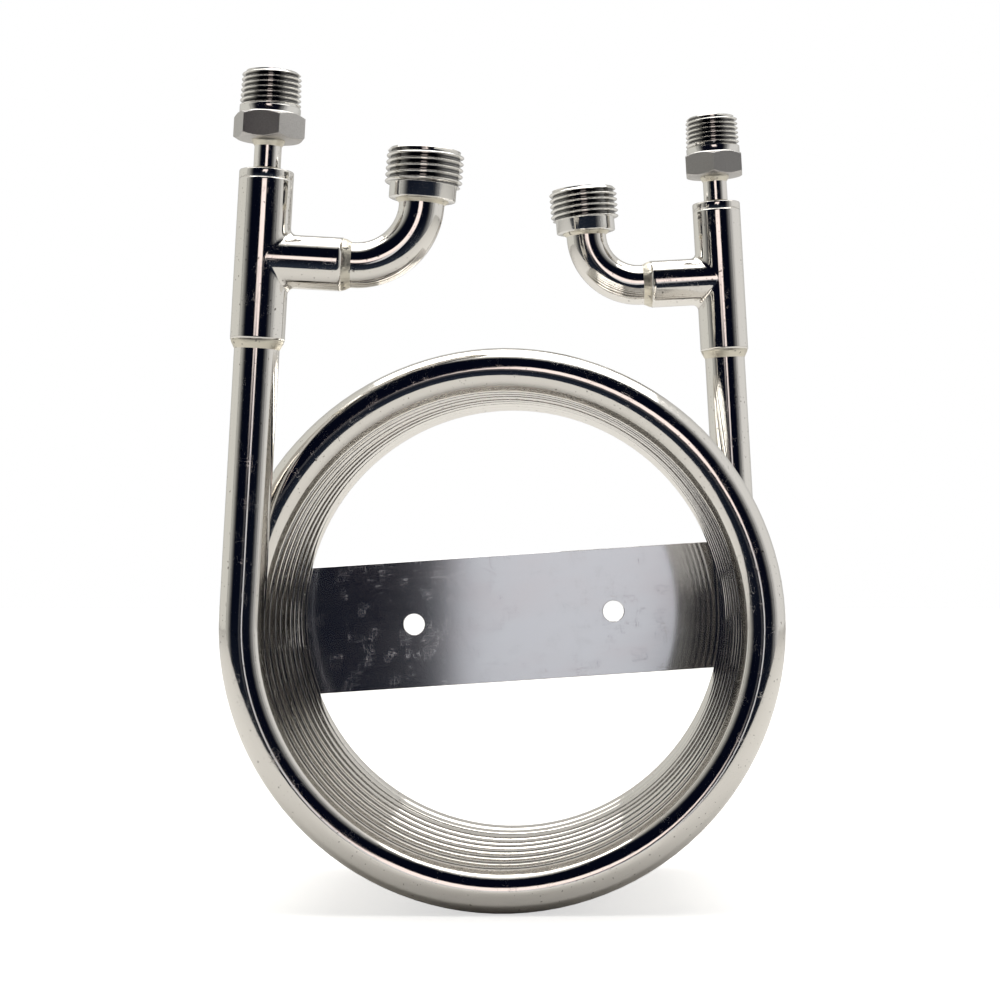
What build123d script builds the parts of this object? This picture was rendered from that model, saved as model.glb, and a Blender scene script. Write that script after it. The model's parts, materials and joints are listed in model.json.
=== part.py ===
from build123d import *
from math import atan2, cos, hypot, pi, radians, sin
import os

# Counterflow wort chiller: a tube-in-tube stainless coil with tees, end fittings and a bracket.
# Frame: +Z up, the coil axis runs along Y, the front leg is toward -Y, millimetres.
# Origin: centre of the two bracket holes, on the bracket's rear face.
# The wort runs in the thin inner tube; the water runs around it, inside the thick outer tube.

os.makedirs("parts", exist_ok=True)

# ---------------------------------------------------------------- driving dimensions
tube_od = 15.875            # outer (water) tube, 5/8 in
tube_wall = 0.889
inner_od = 9.525            # inner (wort) tube, 3/8 in
inner_wall = 0.889
slip_clearance = 0.08       # radial play where one tube slides into another
tee_wall = 1.5075           # makes a 3/4 in body over the 5/8 in tube
branch_wall = 1.3075        # the drawn branch comes out slightly thinner

coil_radius = 90.5          # coil axis to tube centreline
winding_gap = 0.25          # daylight between neighbouring turns
whole_turns = 8             # one more half turn brings the rear leg to the far side
front_lean = 3.1            # degrees, front leg leans inward
rear_lean = 3.2             # degrees, rear leg leans inward
front_leg = 95.7            # tangent point to tee bottom
rear_leg = 102.5

tee_centre_to_end = 28.0
tee_fillet = 2.2
socket_depth = 8.0          # tube pushed into the tee
cap_thickness = 3.2
neck_exposed = 10.6         # bare inner tube between end cap and hexagon

front_elbow_radius = 22.5
rear_elbow_radius = 20.7    # the rear elbow is bent a little tighter
elbow_angle = 88.5
elbow_lead_in = 4.0         # straight tube outside the branch
elbow_lead_out = 2.0        # straight tube below the hose fitting

hex_across_flats = 22.225
hex_height = 8.9
hex_chamfer = 0.9
front_hex_turn = 20.3       # degrees, how far each hexagon stopped when screwed to its jig
rear_hex_turn = -5.9
npt_od = 21.336             # 1/2 in pipe thread, widest crest
npt_pitch = 1.814
npt_turns = 7
npt_band = 2.3              # plain band between hexagon and thread
npt_taper = 1 / 32          # radius lost per unit length
npt_bore = 13.0
tube_socket = 6.0           # inner tube pushed into the hexagon

ght_od = 26.99              # 3/4 in garden hose thread
ght_pitch = 2.209
ght_turns = 5
ght_bore = 17.5
ght_collar_od = 23.4
ght_collar = 5.2
ght_socket = 3.0
thread_depth_ratio = 0.65   # thread depth over pitch

bracket_height = 50.8
bracket_thickness = 1.5875
bracket_roll = 3.8          # degrees, strip rises toward +X
bracket_end_past_crest = 1.0
bracket_corner = 2.0
bracket_hole_d = 8.5
bracket_hole_spacing = 80.5

leg_weld_length = 3.3
leg_weld_step = 0.25        # bead stays this far inside the tee's outside
neck_weld_rise = 2.2
neck_weld_leg = 1.1
cap_weld_leg = 0.9
hose_weld_leg = 1.4
bracket_weld_length = 34.0
bracket_weld_leg = 2.4

# ---------------------------------------------------------------- derived dimensions
tube_r = tube_od / 2
tube_bore_r = tube_r - tube_wall
inner_r = inner_od / 2
inner_bore_r = inner_r - inner_wall
tee_bore_r = tube_r + slip_clearance
tee_r = tee_bore_r + tee_wall
branch_r = tee_bore_r + branch_wall

half_turns = 2 * whole_turns + 1
pitch = tube_od + winding_gap
tilt = atan2(pitch / 4, coil_radius)             # each half turn leans this much
arc_radius = hypot(coil_radius, pitch / 4)
coil_back = (half_turns - 0.5) * pitch / 2       # last half turn's centre, from the first leg
coil_shift = -(coil_back + (tube_r + bracket_thickness) / cos(tilt))

front_tee_at = front_leg + tee_centre_to_end
rear_tee_at = rear_leg + tee_centre_to_end


# ---------------------------------------------------------------- the winding path
def half_turn_centre(k):
    """Centre of half turn k; even ones pass under the axis, odd ones over it."""
    return Vector(0, coil_shift + (k + 0.5) * pitch / 2, 0)


def half_turn_side(k):
    """Unit vector from the centre of half turn k to its end on the +X side."""
    lean = tilt if k % 2 == 0 else -tilt
    return Vector(cos(lean), sin(lean), 0)


def arc_point(k, angle):
    """Point on half turn k; angle 0 at the -X end, 180 at the +X end, in degrees."""
    up = -1 if k % 2 == 0 else 1
    side = half_turn_side(k) * (-cos(radians(angle)) * arc_radius)
    rise = Vector(0, 0, up * sin(radians(angle)) * arc_radius)
    return half_turn_centre(k) + side + rise


last_turn = half_turns - 1
front_foot = arc_point(0, -front_lean)
rear_foot = arc_point(last_turn, 180 + rear_lean)
front_axis = half_turn_side(0) * sin(radians(front_lean)) + Vector(0, 0, cos(radians(front_lean)))
rear_axis = Vector(0, 0, cos(radians(rear_lean))) - half_turn_side(last_turn) * sin(radians(rear_lean))
front_branch = half_turn_side(0) * cos(radians(front_lean)) - Vector(0, 0, sin(radians(front_lean)))
rear_branch = half_turn_side(last_turn) * -cos(radians(rear_lean)) - Vector(0, 0, sin(radians(rear_lean)))


def ring(plane, outside, inside):
    """Sketch of a ring, or of a full disc when inside is zero."""
    with BuildSketch(plane) as section:
        Circle(outside)
        if inside > 0:
            Circle(inside, mode=Mode.SUBTRACT)
    return section.sketch


def half_turn_span(k):
    """Start and end angle of half turn k, with the short arcs that run into the legs."""
    start = -front_lean if k == 0 else 0
    end = 180 + rear_lean if k == last_turn else 180
    return start, end


def arc(k, start, end, outside, inside, mode=Mode.ADD):
    """A torus piece of half turn k between two angles."""
    side = half_turn_side(k)
    up = Vector(0, 0, -1 if k % 2 == 0 else 1)
    out = side * -cos(radians(start)) + up * sin(radians(start))
    along = side * sin(radians(start)) + up * cos(radians(start))
    section = Plane(origin=arc_point(k, start), x_dir=out, z_dir=along)
    spin = Axis(origin=half_turn_centre(k), direction=out.cross(along))
    revolve(ring(section, outside, inside), axis=spin, revolution_arc=end - start, mode=mode)


def wind(first, last, outside, inside, mode=Mode.ADD):
    """Half turns first..last as torus pieces."""
    for k in range(first, last + 1):
        start, end = half_turn_span(k)
        arc(k, start, end, outside, inside, mode)


def straight(foot, axis, start, end, outside, inside, mode=Mode.ADD):
    """A straight run of tube along a leg, between two distances from its foot."""
    section = Plane(origin=foot + axis * start, z_dir=axis)
    extrude(ring(section, outside, inside), amount=end - start, mode=mode)


def save(builder, name):
    """Label a finished sub-part and write its STEP file."""
    builder.part.label = name
    export_step(builder.part, f"parts/{name}.step")


# ---------------------------------------------------------------- the two long tubes
# The outer tube is one bent tube; its legs and quarter turns are separate nodes, so that the
# collision made from each node stays close to the tube and the coil stays open inside.
for tag, foot, axis, leg in (
    ("front", front_foot, front_axis, front_leg),
    ("rear", rear_foot, rear_axis, rear_leg),
):
    with BuildPart() as leg_tube:
        straight(foot, axis, 0, leg + socket_depth, tube_r, tube_bore_r)
    save(leg_tube, f"{tag}_leg_tube")

for k in range(half_turns):
    start, end = half_turn_span(k)
    for number, (low, high) in enumerate(((start, 90), (90, end)), 2 * k + 1):
        with BuildPart() as coil_quarter:
            arc(k, low, high, tube_r, tube_bore_r)
        save(coil_quarter, f"coil_quarter_{number:02d}")

hex_from_tee = tee_centre_to_end + cap_thickness + neck_exposed   # tee centre to hexagon
with BuildPart() as inner_wort_tube:
    wind(0, last_turn, inner_r, inner_bore_r)
    for foot, axis, tee_at in (
        (front_foot, front_axis, front_tee_at),
        (rear_foot, rear_axis, rear_tee_at),
    ):
        straight(foot, axis, 0, tee_at + hex_from_tee + tube_socket, inner_r, inner_bore_r)
save(inner_wort_tube, "inner_wort_tube")


# ---------------------------------------------------------------- profiles of turned pieces
def ridges(start, pitch_length, count, crest, depth, shrink):
    """Corner points of a ridged thread, from the wide end to the narrow end."""
    points = []
    for i in range(count):
        low = start + i * pitch_length
        crest_here = crest - shrink * (low - start)
        points.append((crest_here - depth, low + 0.06 * pitch_length))
        points.append((crest_here, low + 0.44 * pitch_length))
        points.append((crest_here, low + 0.56 * pitch_length))
        points.append((crest_here - depth, low + 0.94 * pitch_length))
    return points


def turned(plane, points):
    """Revolve a closed (radius, height) outline about the plane's own Z axis."""
    with BuildSketch(Plane(origin=plane.origin, x_dir=plane.x_dir, z_dir=-plane.y_dir)) as outline:
        with BuildLine():
            Polyline(*points, close=True)
        make_face()
    revolve(outline.sketch, axis=Axis(plane.origin, plane.z_dir))


def bead_outline(tube_radius, height, rise, bulge=0.12):
    """Weld fillet outline: a slightly convex wedge between a face and a tube."""
    return [
        (tube_radius, 0),
        (tube_radius + height, 0),
        (tube_radius + height * (0.55 + bulge), rise * (0.40 + bulge)),
        (tube_radius + 0.05, rise),
        (tube_radius, rise),
    ]


def build_end(tag, foot, axis, branch, tee_at, hex_turn, elbow_radius):
    """Tee, cap, fittings, elbow and weld beads of one end of the chiller."""
    depth = axis.cross(branch)
    tee_plane = Plane(origin=foot + axis * tee_at, x_dir=branch, z_dir=axis)
    branch_plane = Plane(origin=tee_plane.origin, x_dir=depth, z_dir=branch)

    tee_bottom = tee_plane.offset(-tee_centre_to_end)
    with BuildPart() as tee:
        extrude(ring(tee_bottom, tee_r, 0), amount=2 * tee_centre_to_end)
        extrude(ring(branch_plane, branch_r, 0), amount=tee_centre_to_end)
        crotch = tee.edges().filter_by(lambda edge: edge.geom_type not in (GeomType.CIRCLE, GeomType.LINE))
        fillet(crotch, tee_fillet)
        extrude(ring(tee_bottom, tee_bore_r, 0), amount=2 * tee_centre_to_end, mode=Mode.SUBTRACT)
        extrude(ring(branch_plane, tee_bore_r, 0), amount=tee_centre_to_end, mode=Mode.SUBTRACT)
    save(tee, f"{tag}_tee")

    cap_at = tee_at + tee_centre_to_end
    with BuildPart() as cap:
        straight(foot, axis, cap_at, cap_at + cap_thickness, tee_r, inner_r)
        top_rim = cap.edges().filter_by(GeomType.CIRCLE).group_by(SortBy.RADIUS)[-1]
        chamfer(top_rim.sort_by(Axis(foot, axis))[-1], 0.35)
    save(cap, f"{tag}_end_cap")

    hex_at = tee_at + hex_from_tee
    hex_corner = depth * cos(radians(hex_turn)) + axis.cross(depth) * sin(radians(hex_turn))
    hex_plane = Plane(origin=foot + axis * hex_at, x_dir=hex_corner, z_dir=axis)
    thread_start = hex_height + npt_band
    thread_end = thread_start + npt_turns * npt_pitch
    npt_r = npt_od / 2
    npt_depth = 0.8 * npt_pitch
    tip_r = npt_r - npt_taper * npt_turns * npt_pitch - npt_depth
    with BuildPart() as wort_fitting:
        with BuildSketch(hex_plane):
            RegularPolygon(hex_across_flats / 2, 6, major_radius=False)
        extrude(amount=hex_height)
        corner_r = hex_across_flats / 2 / cos(pi / 6)
        with BuildSketch(Plane(origin=hex_plane.origin, x_dir=hex_plane.x_dir, z_dir=-hex_plane.y_dir)):
            for end, inward in ((0, 1), (hex_height, -1)):
                with BuildLine():
                    Polyline(
                        (hex_across_flats / 2 - 0.1, end - 0.05 * inward),
                        (corner_r + 0.6, end - 0.05 * inward),
                        (corner_r + 0.6, end + inward * (hex_chamfer + 0.35)),
                        close=True,
                    )
                make_face()
        revolve(axis=Axis(hex_plane.origin, hex_plane.z_dir), mode=Mode.SUBTRACT)
        outline = [(inner_r, hex_height - 1), (npt_r - 0.05, hex_height - 1), (npt_r - 0.05, thread_start)]
        outline += ridges(thread_start, npt_pitch, npt_turns, npt_r, npt_depth, npt_taper)
        outline += [(tip_r, thread_end), (inner_r, thread_end)]
        turned(hex_plane, outline)
        extrude(ring(hex_plane, inner_r + slip_clearance / 2, 0), amount=tube_socket, mode=Mode.SUBTRACT)
        extrude(ring(hex_plane, inner_bore_r, 0), amount=thread_end, mode=Mode.SUBTRACT)
        mouth = ring(hex_plane.offset(hex_height), npt_bore / 2, 0)
        extrude(mouth, amount=thread_end - hex_height, mode=Mode.SUBTRACT)
    save(wort_fitting, f"{tag}_wort_fitting")

    elbow_start = branch_plane.origin + branch * (tee_centre_to_end - socket_depth)
    bend_start = branch_plane.origin + branch * (tee_centre_to_end + elbow_lead_in)
    bend_centre = bend_start + axis * elbow_radius
    hose_axis = branch * cos(radians(elbow_angle)) + axis * sin(radians(elbow_angle))
    bend_out = branch * sin(radians(elbow_angle)) - axis * cos(radians(elbow_angle))
    bend_end = bend_centre + bend_out * elbow_radius
    with BuildPart() as elbow:
        straight(elbow_start, branch, 0, socket_depth + elbow_lead_in, tube_r, tube_bore_r)
        section = ring(Plane(origin=bend_start, x_dir=depth, z_dir=branch), tube_r, tube_bore_r)
        revolve(section, axis=Axis(bend_centre, branch.cross(axis)), revolution_arc=elbow_angle)
        straight(bend_end, hose_axis, 0, elbow_lead_out + ght_socket, tube_r, tube_bore_r)
    save(elbow, f"{tag}_water_elbow")

    hose_plane = Plane(origin=bend_end + hose_axis * elbow_lead_out, x_dir=depth, z_dir=hose_axis)
    hose_top = ght_collar + ght_turns * ght_pitch + 1.2
    ght_r = ght_od / 2
    ght_depth = thread_depth_ratio * ght_pitch
    with BuildPart() as hose_fitting:
        outline = [(tube_bore_r, 0), (ght_collar_od / 2 - 0.4, 0), (ght_collar_od / 2, 0.4)]
        outline += [(ght_collar_od / 2, ght_collar)]
        outline += ridges(ght_collar, ght_pitch, ght_turns, ght_r, ght_depth, 0)
        outline += [(ght_r - 0.4, hose_top - 0.9), (ght_r - 1.0, hose_top), (tube_bore_r, hose_top)]
        turned(hose_plane, outline)
        extrude(ring(hose_plane, tube_r + slip_clearance / 2, 0), amount=ght_socket, mode=Mode.SUBTRACT)
        mouth = ring(hose_plane.offset(ght_collar), ght_bore / 2, 0)
        extrude(mouth, amount=hose_top - ght_collar, mode=Mode.SUBTRACT)
    save(hose_fitting, f"{tag}_hose_fitting")

    bead_step = tee_r - tube_r - leg_weld_step
    under_tee = Plane(origin=tee_bottom.origin, x_dir=branch, z_dir=-axis)
    with BuildPart() as leg_weld:
        turned(under_tee, bead_outline(tube_r, bead_step, leg_weld_length))
    save(leg_weld, f"{tag}_leg_weld")

    branch_end = Plane(origin=branch_plane.origin + branch * tee_centre_to_end, x_dir=depth, z_dir=branch)
    with BuildPart() as branch_weld:
        branch_step = branch_r - tube_r - leg_weld_step
        turned(branch_end, bead_outline(tube_r, branch_step, leg_weld_length))
    save(branch_weld, f"{tag}_branch_weld")

    cap_top = Plane(origin=foot + axis * (cap_at + cap_thickness), x_dir=branch, z_dir=axis)
    with BuildPart() as cap_weld:
        turned(cap_top, bead_outline(inner_r, cap_weld_leg, cap_weld_leg))
    save(cap_weld, f"{tag}_cap_weld")

    hex_bottom = Plane(origin=hex_plane.origin, x_dir=branch, z_dir=-axis)
    with BuildPart() as neck_weld:
        turned(hex_bottom, bead_outline(inner_r, neck_weld_leg, neck_weld_rise))
    save(neck_weld, f"{tag}_neck_weld")

    collar_bottom = Plane(origin=hose_plane.origin, x_dir=depth, z_dir=-hose_axis)
    with BuildPart() as hose_weld:
        turned(collar_bottom, bead_outline(tube_r, hose_weld_leg, hose_weld_leg))
    save(hose_weld, f"{tag}_hose_weld")


build_end(
    "front", front_foot, front_axis, front_branch, front_tee_at, front_hex_turn, front_elbow_radius
)
build_end("rear", rear_foot, rear_axis, rear_branch, rear_tee_at, rear_hex_turn, rear_elbow_radius)

# ---------------------------------------------------------------- mounting bracket
strip_normal = Vector(-sin(tilt), cos(tilt), 0)
strip_along = (
    half_turn_side(last_turn) * cos(radians(bracket_roll)) + Vector(0, 0, sin(radians(bracket_roll)))
)
strip_plane = Plane(origin=(0, 0, 0), x_dir=strip_along, z_dir=strip_normal)
strip_half = coil_radius + bracket_end_past_crest

with BuildPart() as mounting_bracket:
    with BuildSketch(strip_plane):
        RectangleRounded(2 * strip_half, bracket_height, bracket_corner)
        with Locations((-bracket_hole_spacing / 2, 0), (bracket_hole_spacing / 2, 0)):
            Circle(bracket_hole_d / 2, mode=Mode.SUBTRACT)
    extrude(amount=-bracket_thickness)
save(mounting_bracket, "mounting_bracket")

for tag, way in (("left", -1), ("right", 1)):
    end_plane = Plane(origin=strip_along * (way * strip_half), x_dir=strip_normal, z_dir=strip_along * way)
    run = Plane(
        origin=end_plane.origin - end_plane.y_dir * (bracket_weld_length / 2),
        x_dir=strip_along * way,
        z_dir=end_plane.y_dir,
    )
    rear_way = 1 if run.y_dir.dot(strip_normal) > 0 else -1
    with BuildPart() as bracket_weld:
        with BuildSketch(run):
            with BuildLine():
                Polyline(
                    (0, -0.25 * rear_way),
                    (0, -(bracket_thickness + tube_r / 2) * rear_way),
                    (bracket_weld_leg + 1.2, -(bracket_thickness + tube_r / 2) * rear_way),
                    (bracket_weld_leg, -(bracket_thickness + 0.1) * rear_way),
                    (bracket_weld_leg * 0.55, -0.7 * rear_way),
                    close=True,
                )
            make_face()
        extrude(amount=bracket_weld_length)
        wind(last_turn - 1, last_turn, tube_r, 0, Mode.SUBTRACT)
        straight(rear_foot, rear_axis, 0, rear_leg, tube_r, 0, Mode.SUBTRACT)
    save(bracket_weld, f"bracket_weld_{tag}")
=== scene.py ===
"""Looks of a counterflow wort chiller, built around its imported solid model.

The chiller is a steel tube inside a wider steel tube, wound together into a coil that lies on its
side. Each end rises as a leg to a tee, where the inner tube carries on up to a pipe thread and the
outer tube turns off to a hose thread. A brushed strip across the rear turn bolts it to a panel.

Everything is in metres, +Z up, with the origin at the centre of the strip's two bolt holes.
"""

import json
import logging
import math
from dataclasses import dataclass, field
from enum import Enum
from typing import Callable

import bmesh
import bpy
from bmesh.types import BMEdge, BMesh, BMVert
from bpy.types import Material, Node, NodeSocket, NodeTree, Object
from mathutils import Matrix, Vector, noise

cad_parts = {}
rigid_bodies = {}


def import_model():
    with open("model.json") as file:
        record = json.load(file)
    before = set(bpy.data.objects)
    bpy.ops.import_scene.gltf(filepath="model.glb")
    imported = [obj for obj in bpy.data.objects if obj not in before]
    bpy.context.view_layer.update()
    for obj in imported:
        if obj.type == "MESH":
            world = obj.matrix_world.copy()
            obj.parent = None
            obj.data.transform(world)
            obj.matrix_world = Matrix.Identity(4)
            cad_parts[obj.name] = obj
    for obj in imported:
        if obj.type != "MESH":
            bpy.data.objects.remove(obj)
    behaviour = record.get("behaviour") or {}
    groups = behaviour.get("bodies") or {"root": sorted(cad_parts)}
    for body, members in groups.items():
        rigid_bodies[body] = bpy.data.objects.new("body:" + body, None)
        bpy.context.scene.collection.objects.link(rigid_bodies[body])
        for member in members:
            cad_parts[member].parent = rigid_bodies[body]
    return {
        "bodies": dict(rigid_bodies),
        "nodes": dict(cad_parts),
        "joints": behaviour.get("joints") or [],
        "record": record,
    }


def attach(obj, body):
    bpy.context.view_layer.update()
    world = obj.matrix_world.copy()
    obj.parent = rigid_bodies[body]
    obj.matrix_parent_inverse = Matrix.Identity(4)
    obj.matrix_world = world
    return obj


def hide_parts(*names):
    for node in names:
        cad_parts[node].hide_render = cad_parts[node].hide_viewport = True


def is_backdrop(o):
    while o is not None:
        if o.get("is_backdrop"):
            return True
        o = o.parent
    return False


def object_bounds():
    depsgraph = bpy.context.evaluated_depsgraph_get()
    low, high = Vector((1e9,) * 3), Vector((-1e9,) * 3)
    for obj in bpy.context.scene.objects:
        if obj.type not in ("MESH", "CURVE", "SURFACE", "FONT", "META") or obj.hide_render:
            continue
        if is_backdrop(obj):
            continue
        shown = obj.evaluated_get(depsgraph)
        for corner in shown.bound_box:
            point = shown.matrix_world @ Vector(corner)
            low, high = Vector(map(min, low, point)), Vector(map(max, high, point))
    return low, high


LOG = logging.getLogger("chiller")
MM = 0.001
# Mesh attributes that the finishes read.
LAY = "lay"  # straightened coordinates: x runs along the tube or up the turned piece
HEAT = "heat"  # 1 at a weld, fading to 0 away from it
GROOVE = "groove"  # 1 at the bottom of a thread's groove, 0 at its crest


# ------------------------------------------------------------------------------ named choices
class End(Enum):
    """The two ends of the chiller."""

    FRONT = "front"
    REAR = "rear"


class Slot(Enum):
    """Material slots of the record."""

    TUBE = "polished_tube"
    INNER = "inner_tube"
    FITTING = "machined_fitting"
    STRIP = "brushed_strip"
    WELD = "weld_bead"


# ------------------------------------------------------------------------------ mesh helpers
def only(kind: type | tuple[type, ...], items: list) -> list:
    """The items of one bmesh kind, such as the edges of what an operator returned."""
    return [item for item in items if isinstance(item, kind)]


def axes_matrix(origin: Vector, along: Vector, across: Vector) -> Matrix:
    """Matrix that puts a locally built piece in place.

    Args:
        origin: Where the local origin goes.
        along: Direction of the local X axis.
        across: Direction of the local Y axis, roughly square to along.

    Returns:
        A 4 by 4 matrix with square unit axes.
    """
    x_axis = along.normalized()
    y_axis = (across - x_axis * across.dot(x_axis)).normalized()
    z_axis = x_axis.cross(y_axis)
    return Matrix.Translation(origin) @ Matrix((x_axis, y_axis, z_axis)).transposed().to_4x4()


def ring_start(bm: BMesh, place: Matrix, radius: float, segments: int) -> list:
    """Start a tube with a circle of edges square to the local X axis.

    Args:
        bm: Mesh being built.
        place: Matrix whose X axis is the tube's direction.
        radius: Circle radius.
        segments: Number of edges.

    Returns:
        The circle's vertices and edges.
    """
    turn = Matrix.Rotation(math.pi / 2, 4, "Y")
    made = bmesh.ops.create_circle(
        bm, cap_ends=False, radius=radius, segments=segments, matrix=place @ turn
    )
    edges = {edge for vert in made["verts"] for edge in vert.link_edges}
    return list(made["verts"]) + list(edges)


def push(bm: BMesh, geometry: list, offset: Vector, steps: int = 1) -> list:
    """Extrude open edges along a straight line.

    Args:
        bm: Mesh being built.
        geometry: Vertices and edges of the open end.
        offset: Whole travel.
        steps: Number of equal extrusions.

    Returns:
        Vertices and edges of the new open end.
    """
    for _ in range(steps):
        grown = bmesh.ops.extrude_edge_only(bm, edges=only(BMEdge, geometry))["geom"]
        geometry = only((BMVert, BMEdge), grown)
        bmesh.ops.translate(bm, verts=only(BMVert, grown), vec=offset / steps)
    return geometry


def bend(
    bm: BMesh, geometry: list, centre: Vector, axis: Vector, angle: float, steps: int
) -> list:
    """Spin open edges round an axis.

    Args:
        bm: Mesh being built.
        geometry: Vertices and edges of the open end.
        centre: A point on the axis.
        axis: Direction of the axis.
        angle: Turn in radians.
        steps: Number of segments.

    Returns:
        Vertices and edges of the new open end.
    """
    made = bmesh.ops.spin(bm, geom=geometry, cent=centre, axis=axis, angle=angle, steps=steps)
    return made["geom_last"]


def outline_chain(bm: BMesh, points: list[tuple[float, float]], closed: bool) -> list:
    """Lay a chain of edges in the local XY plane.

    Args:
        bm: Mesh being built.
        points: Pairs of height along X and radius along Y.
        closed: Whether the last point joins the first.

    Returns:
        The chain's vertices and edges.
    """
    verts = [bm.verts.new((height, radius, 0)) for height, radius in points]
    pairs = list(zip(verts, verts[1:]))
    if closed:
        pairs.append((verts[-1], verts[0]))
    return verts + [bm.edges.new(pair) for pair in pairs]


def turned(bm: BMesh, points: list[tuple[float, float]], steps: int = 72) -> None:
    """Spin a closed outline right round the local X axis.

    Args:
        bm: Mesh being built.
        points: Pairs of height and radius.
        steps: Segments in the full turn.
    """
    chain = outline_chain(bm, points, closed=True)
    bmesh.ops.spin(bm, geom=chain, axis=(1, 0, 0), angle=math.tau, steps=steps, use_merge=True)
    bmesh.ops.remove_doubles(bm, verts=bm.verts, dist=1e-7)


def radius_of(spot: Vector) -> float:
    """Distance of a point from the local X axis."""
    return math.hypot(spot.y, spot.z)


def set_radius(vert: BMVert, radius: float) -> None:
    """Move a vertex straight out or in to a distance from the local X axis."""
    share = radius / radius_of(vert.co)
    vert.co.y *= share
    vert.co.z *= share


def own_axes(spot: Vector) -> Vector:
    """Lay of a piece that is straight in its own axes."""
    return spot.copy()


def write_layers(
    bm: BMesh,
    lay: Callable[[Vector], Vector],
    heat: Callable[[Vector], float],
    groove: Callable[[Vector], float] | None = None,
) -> None:
    """Store the straightened coordinates and the nearness to a weld on every vertex.

    Args:
        bm: Mesh in the frame where lay, heat and groove read positions.
        lay: Gives a point's straightened coordinates.
        heat: Gives a point's nearness to a weld, 0 to 1.
        groove: Gives how deep a point lies in a thread's groove, 0 to 1, on threaded pieces.
    """
    lay_layer = bm.verts.layers.float_vector.new(LAY)
    heat_layer = bm.verts.layers.float.new(HEAT)
    groove_layer = bm.verts.layers.float.new(GROOVE) if groove else None
    for vert in bm.verts:
        vert[lay_layer] = lay(vert.co)
        vert[heat_layer] = heat(vert.co)
        if groove:
            vert[groove_layer] = groove(vert.co)


def into_object(
    bm: BMesh, name: str, material: Material, smooth_under: float = 38.0
) -> Object:
    """Turn a finished bmesh into an object at the origin.

    Args:
        bm: Mesh in the row frame. It is freed.
        name: Piece name.
        material: Finish of the piece.
        smooth_under: Edges sharper than this many degrees stay crisp.

    Returns:
        The new object.
    """
    bmesh.ops.recalc_face_normals(bm, faces=bm.faces)
    for face in bm.faces:
        face.smooth = True
    limit = math.radians(smooth_under)
    for edge in bm.edges:
        if len(edge.link_faces) == 2:
            edge.smooth = edge.calc_face_angle(0.0) < limit
    mesh = bpy.data.meshes.new(name)
    bm.to_mesh(mesh)
    bm.free()
    mesh.materials.append(material)
    piece = bpy.data.objects.new(name, mesh)
    bpy.context.scene.collection.objects.link(piece)
    return piece


def tube_wall(piece: Object, thickness: float) -> None:
    """Give an open tube surface its wall, grown inwards."""
    wall = piece.modifiers.new("wall", "SOLIDIFY")
    wall.thickness = thickness
    wall.offset = -1.0
    wall.use_even_offset = True
    wall.use_rim = True


def fade(distance: float, reach: float) -> float:
    """Smooth fall from 1 at no distance to nearly 0 past the reach."""
    return math.exp(-((distance / reach) ** 2))


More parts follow.
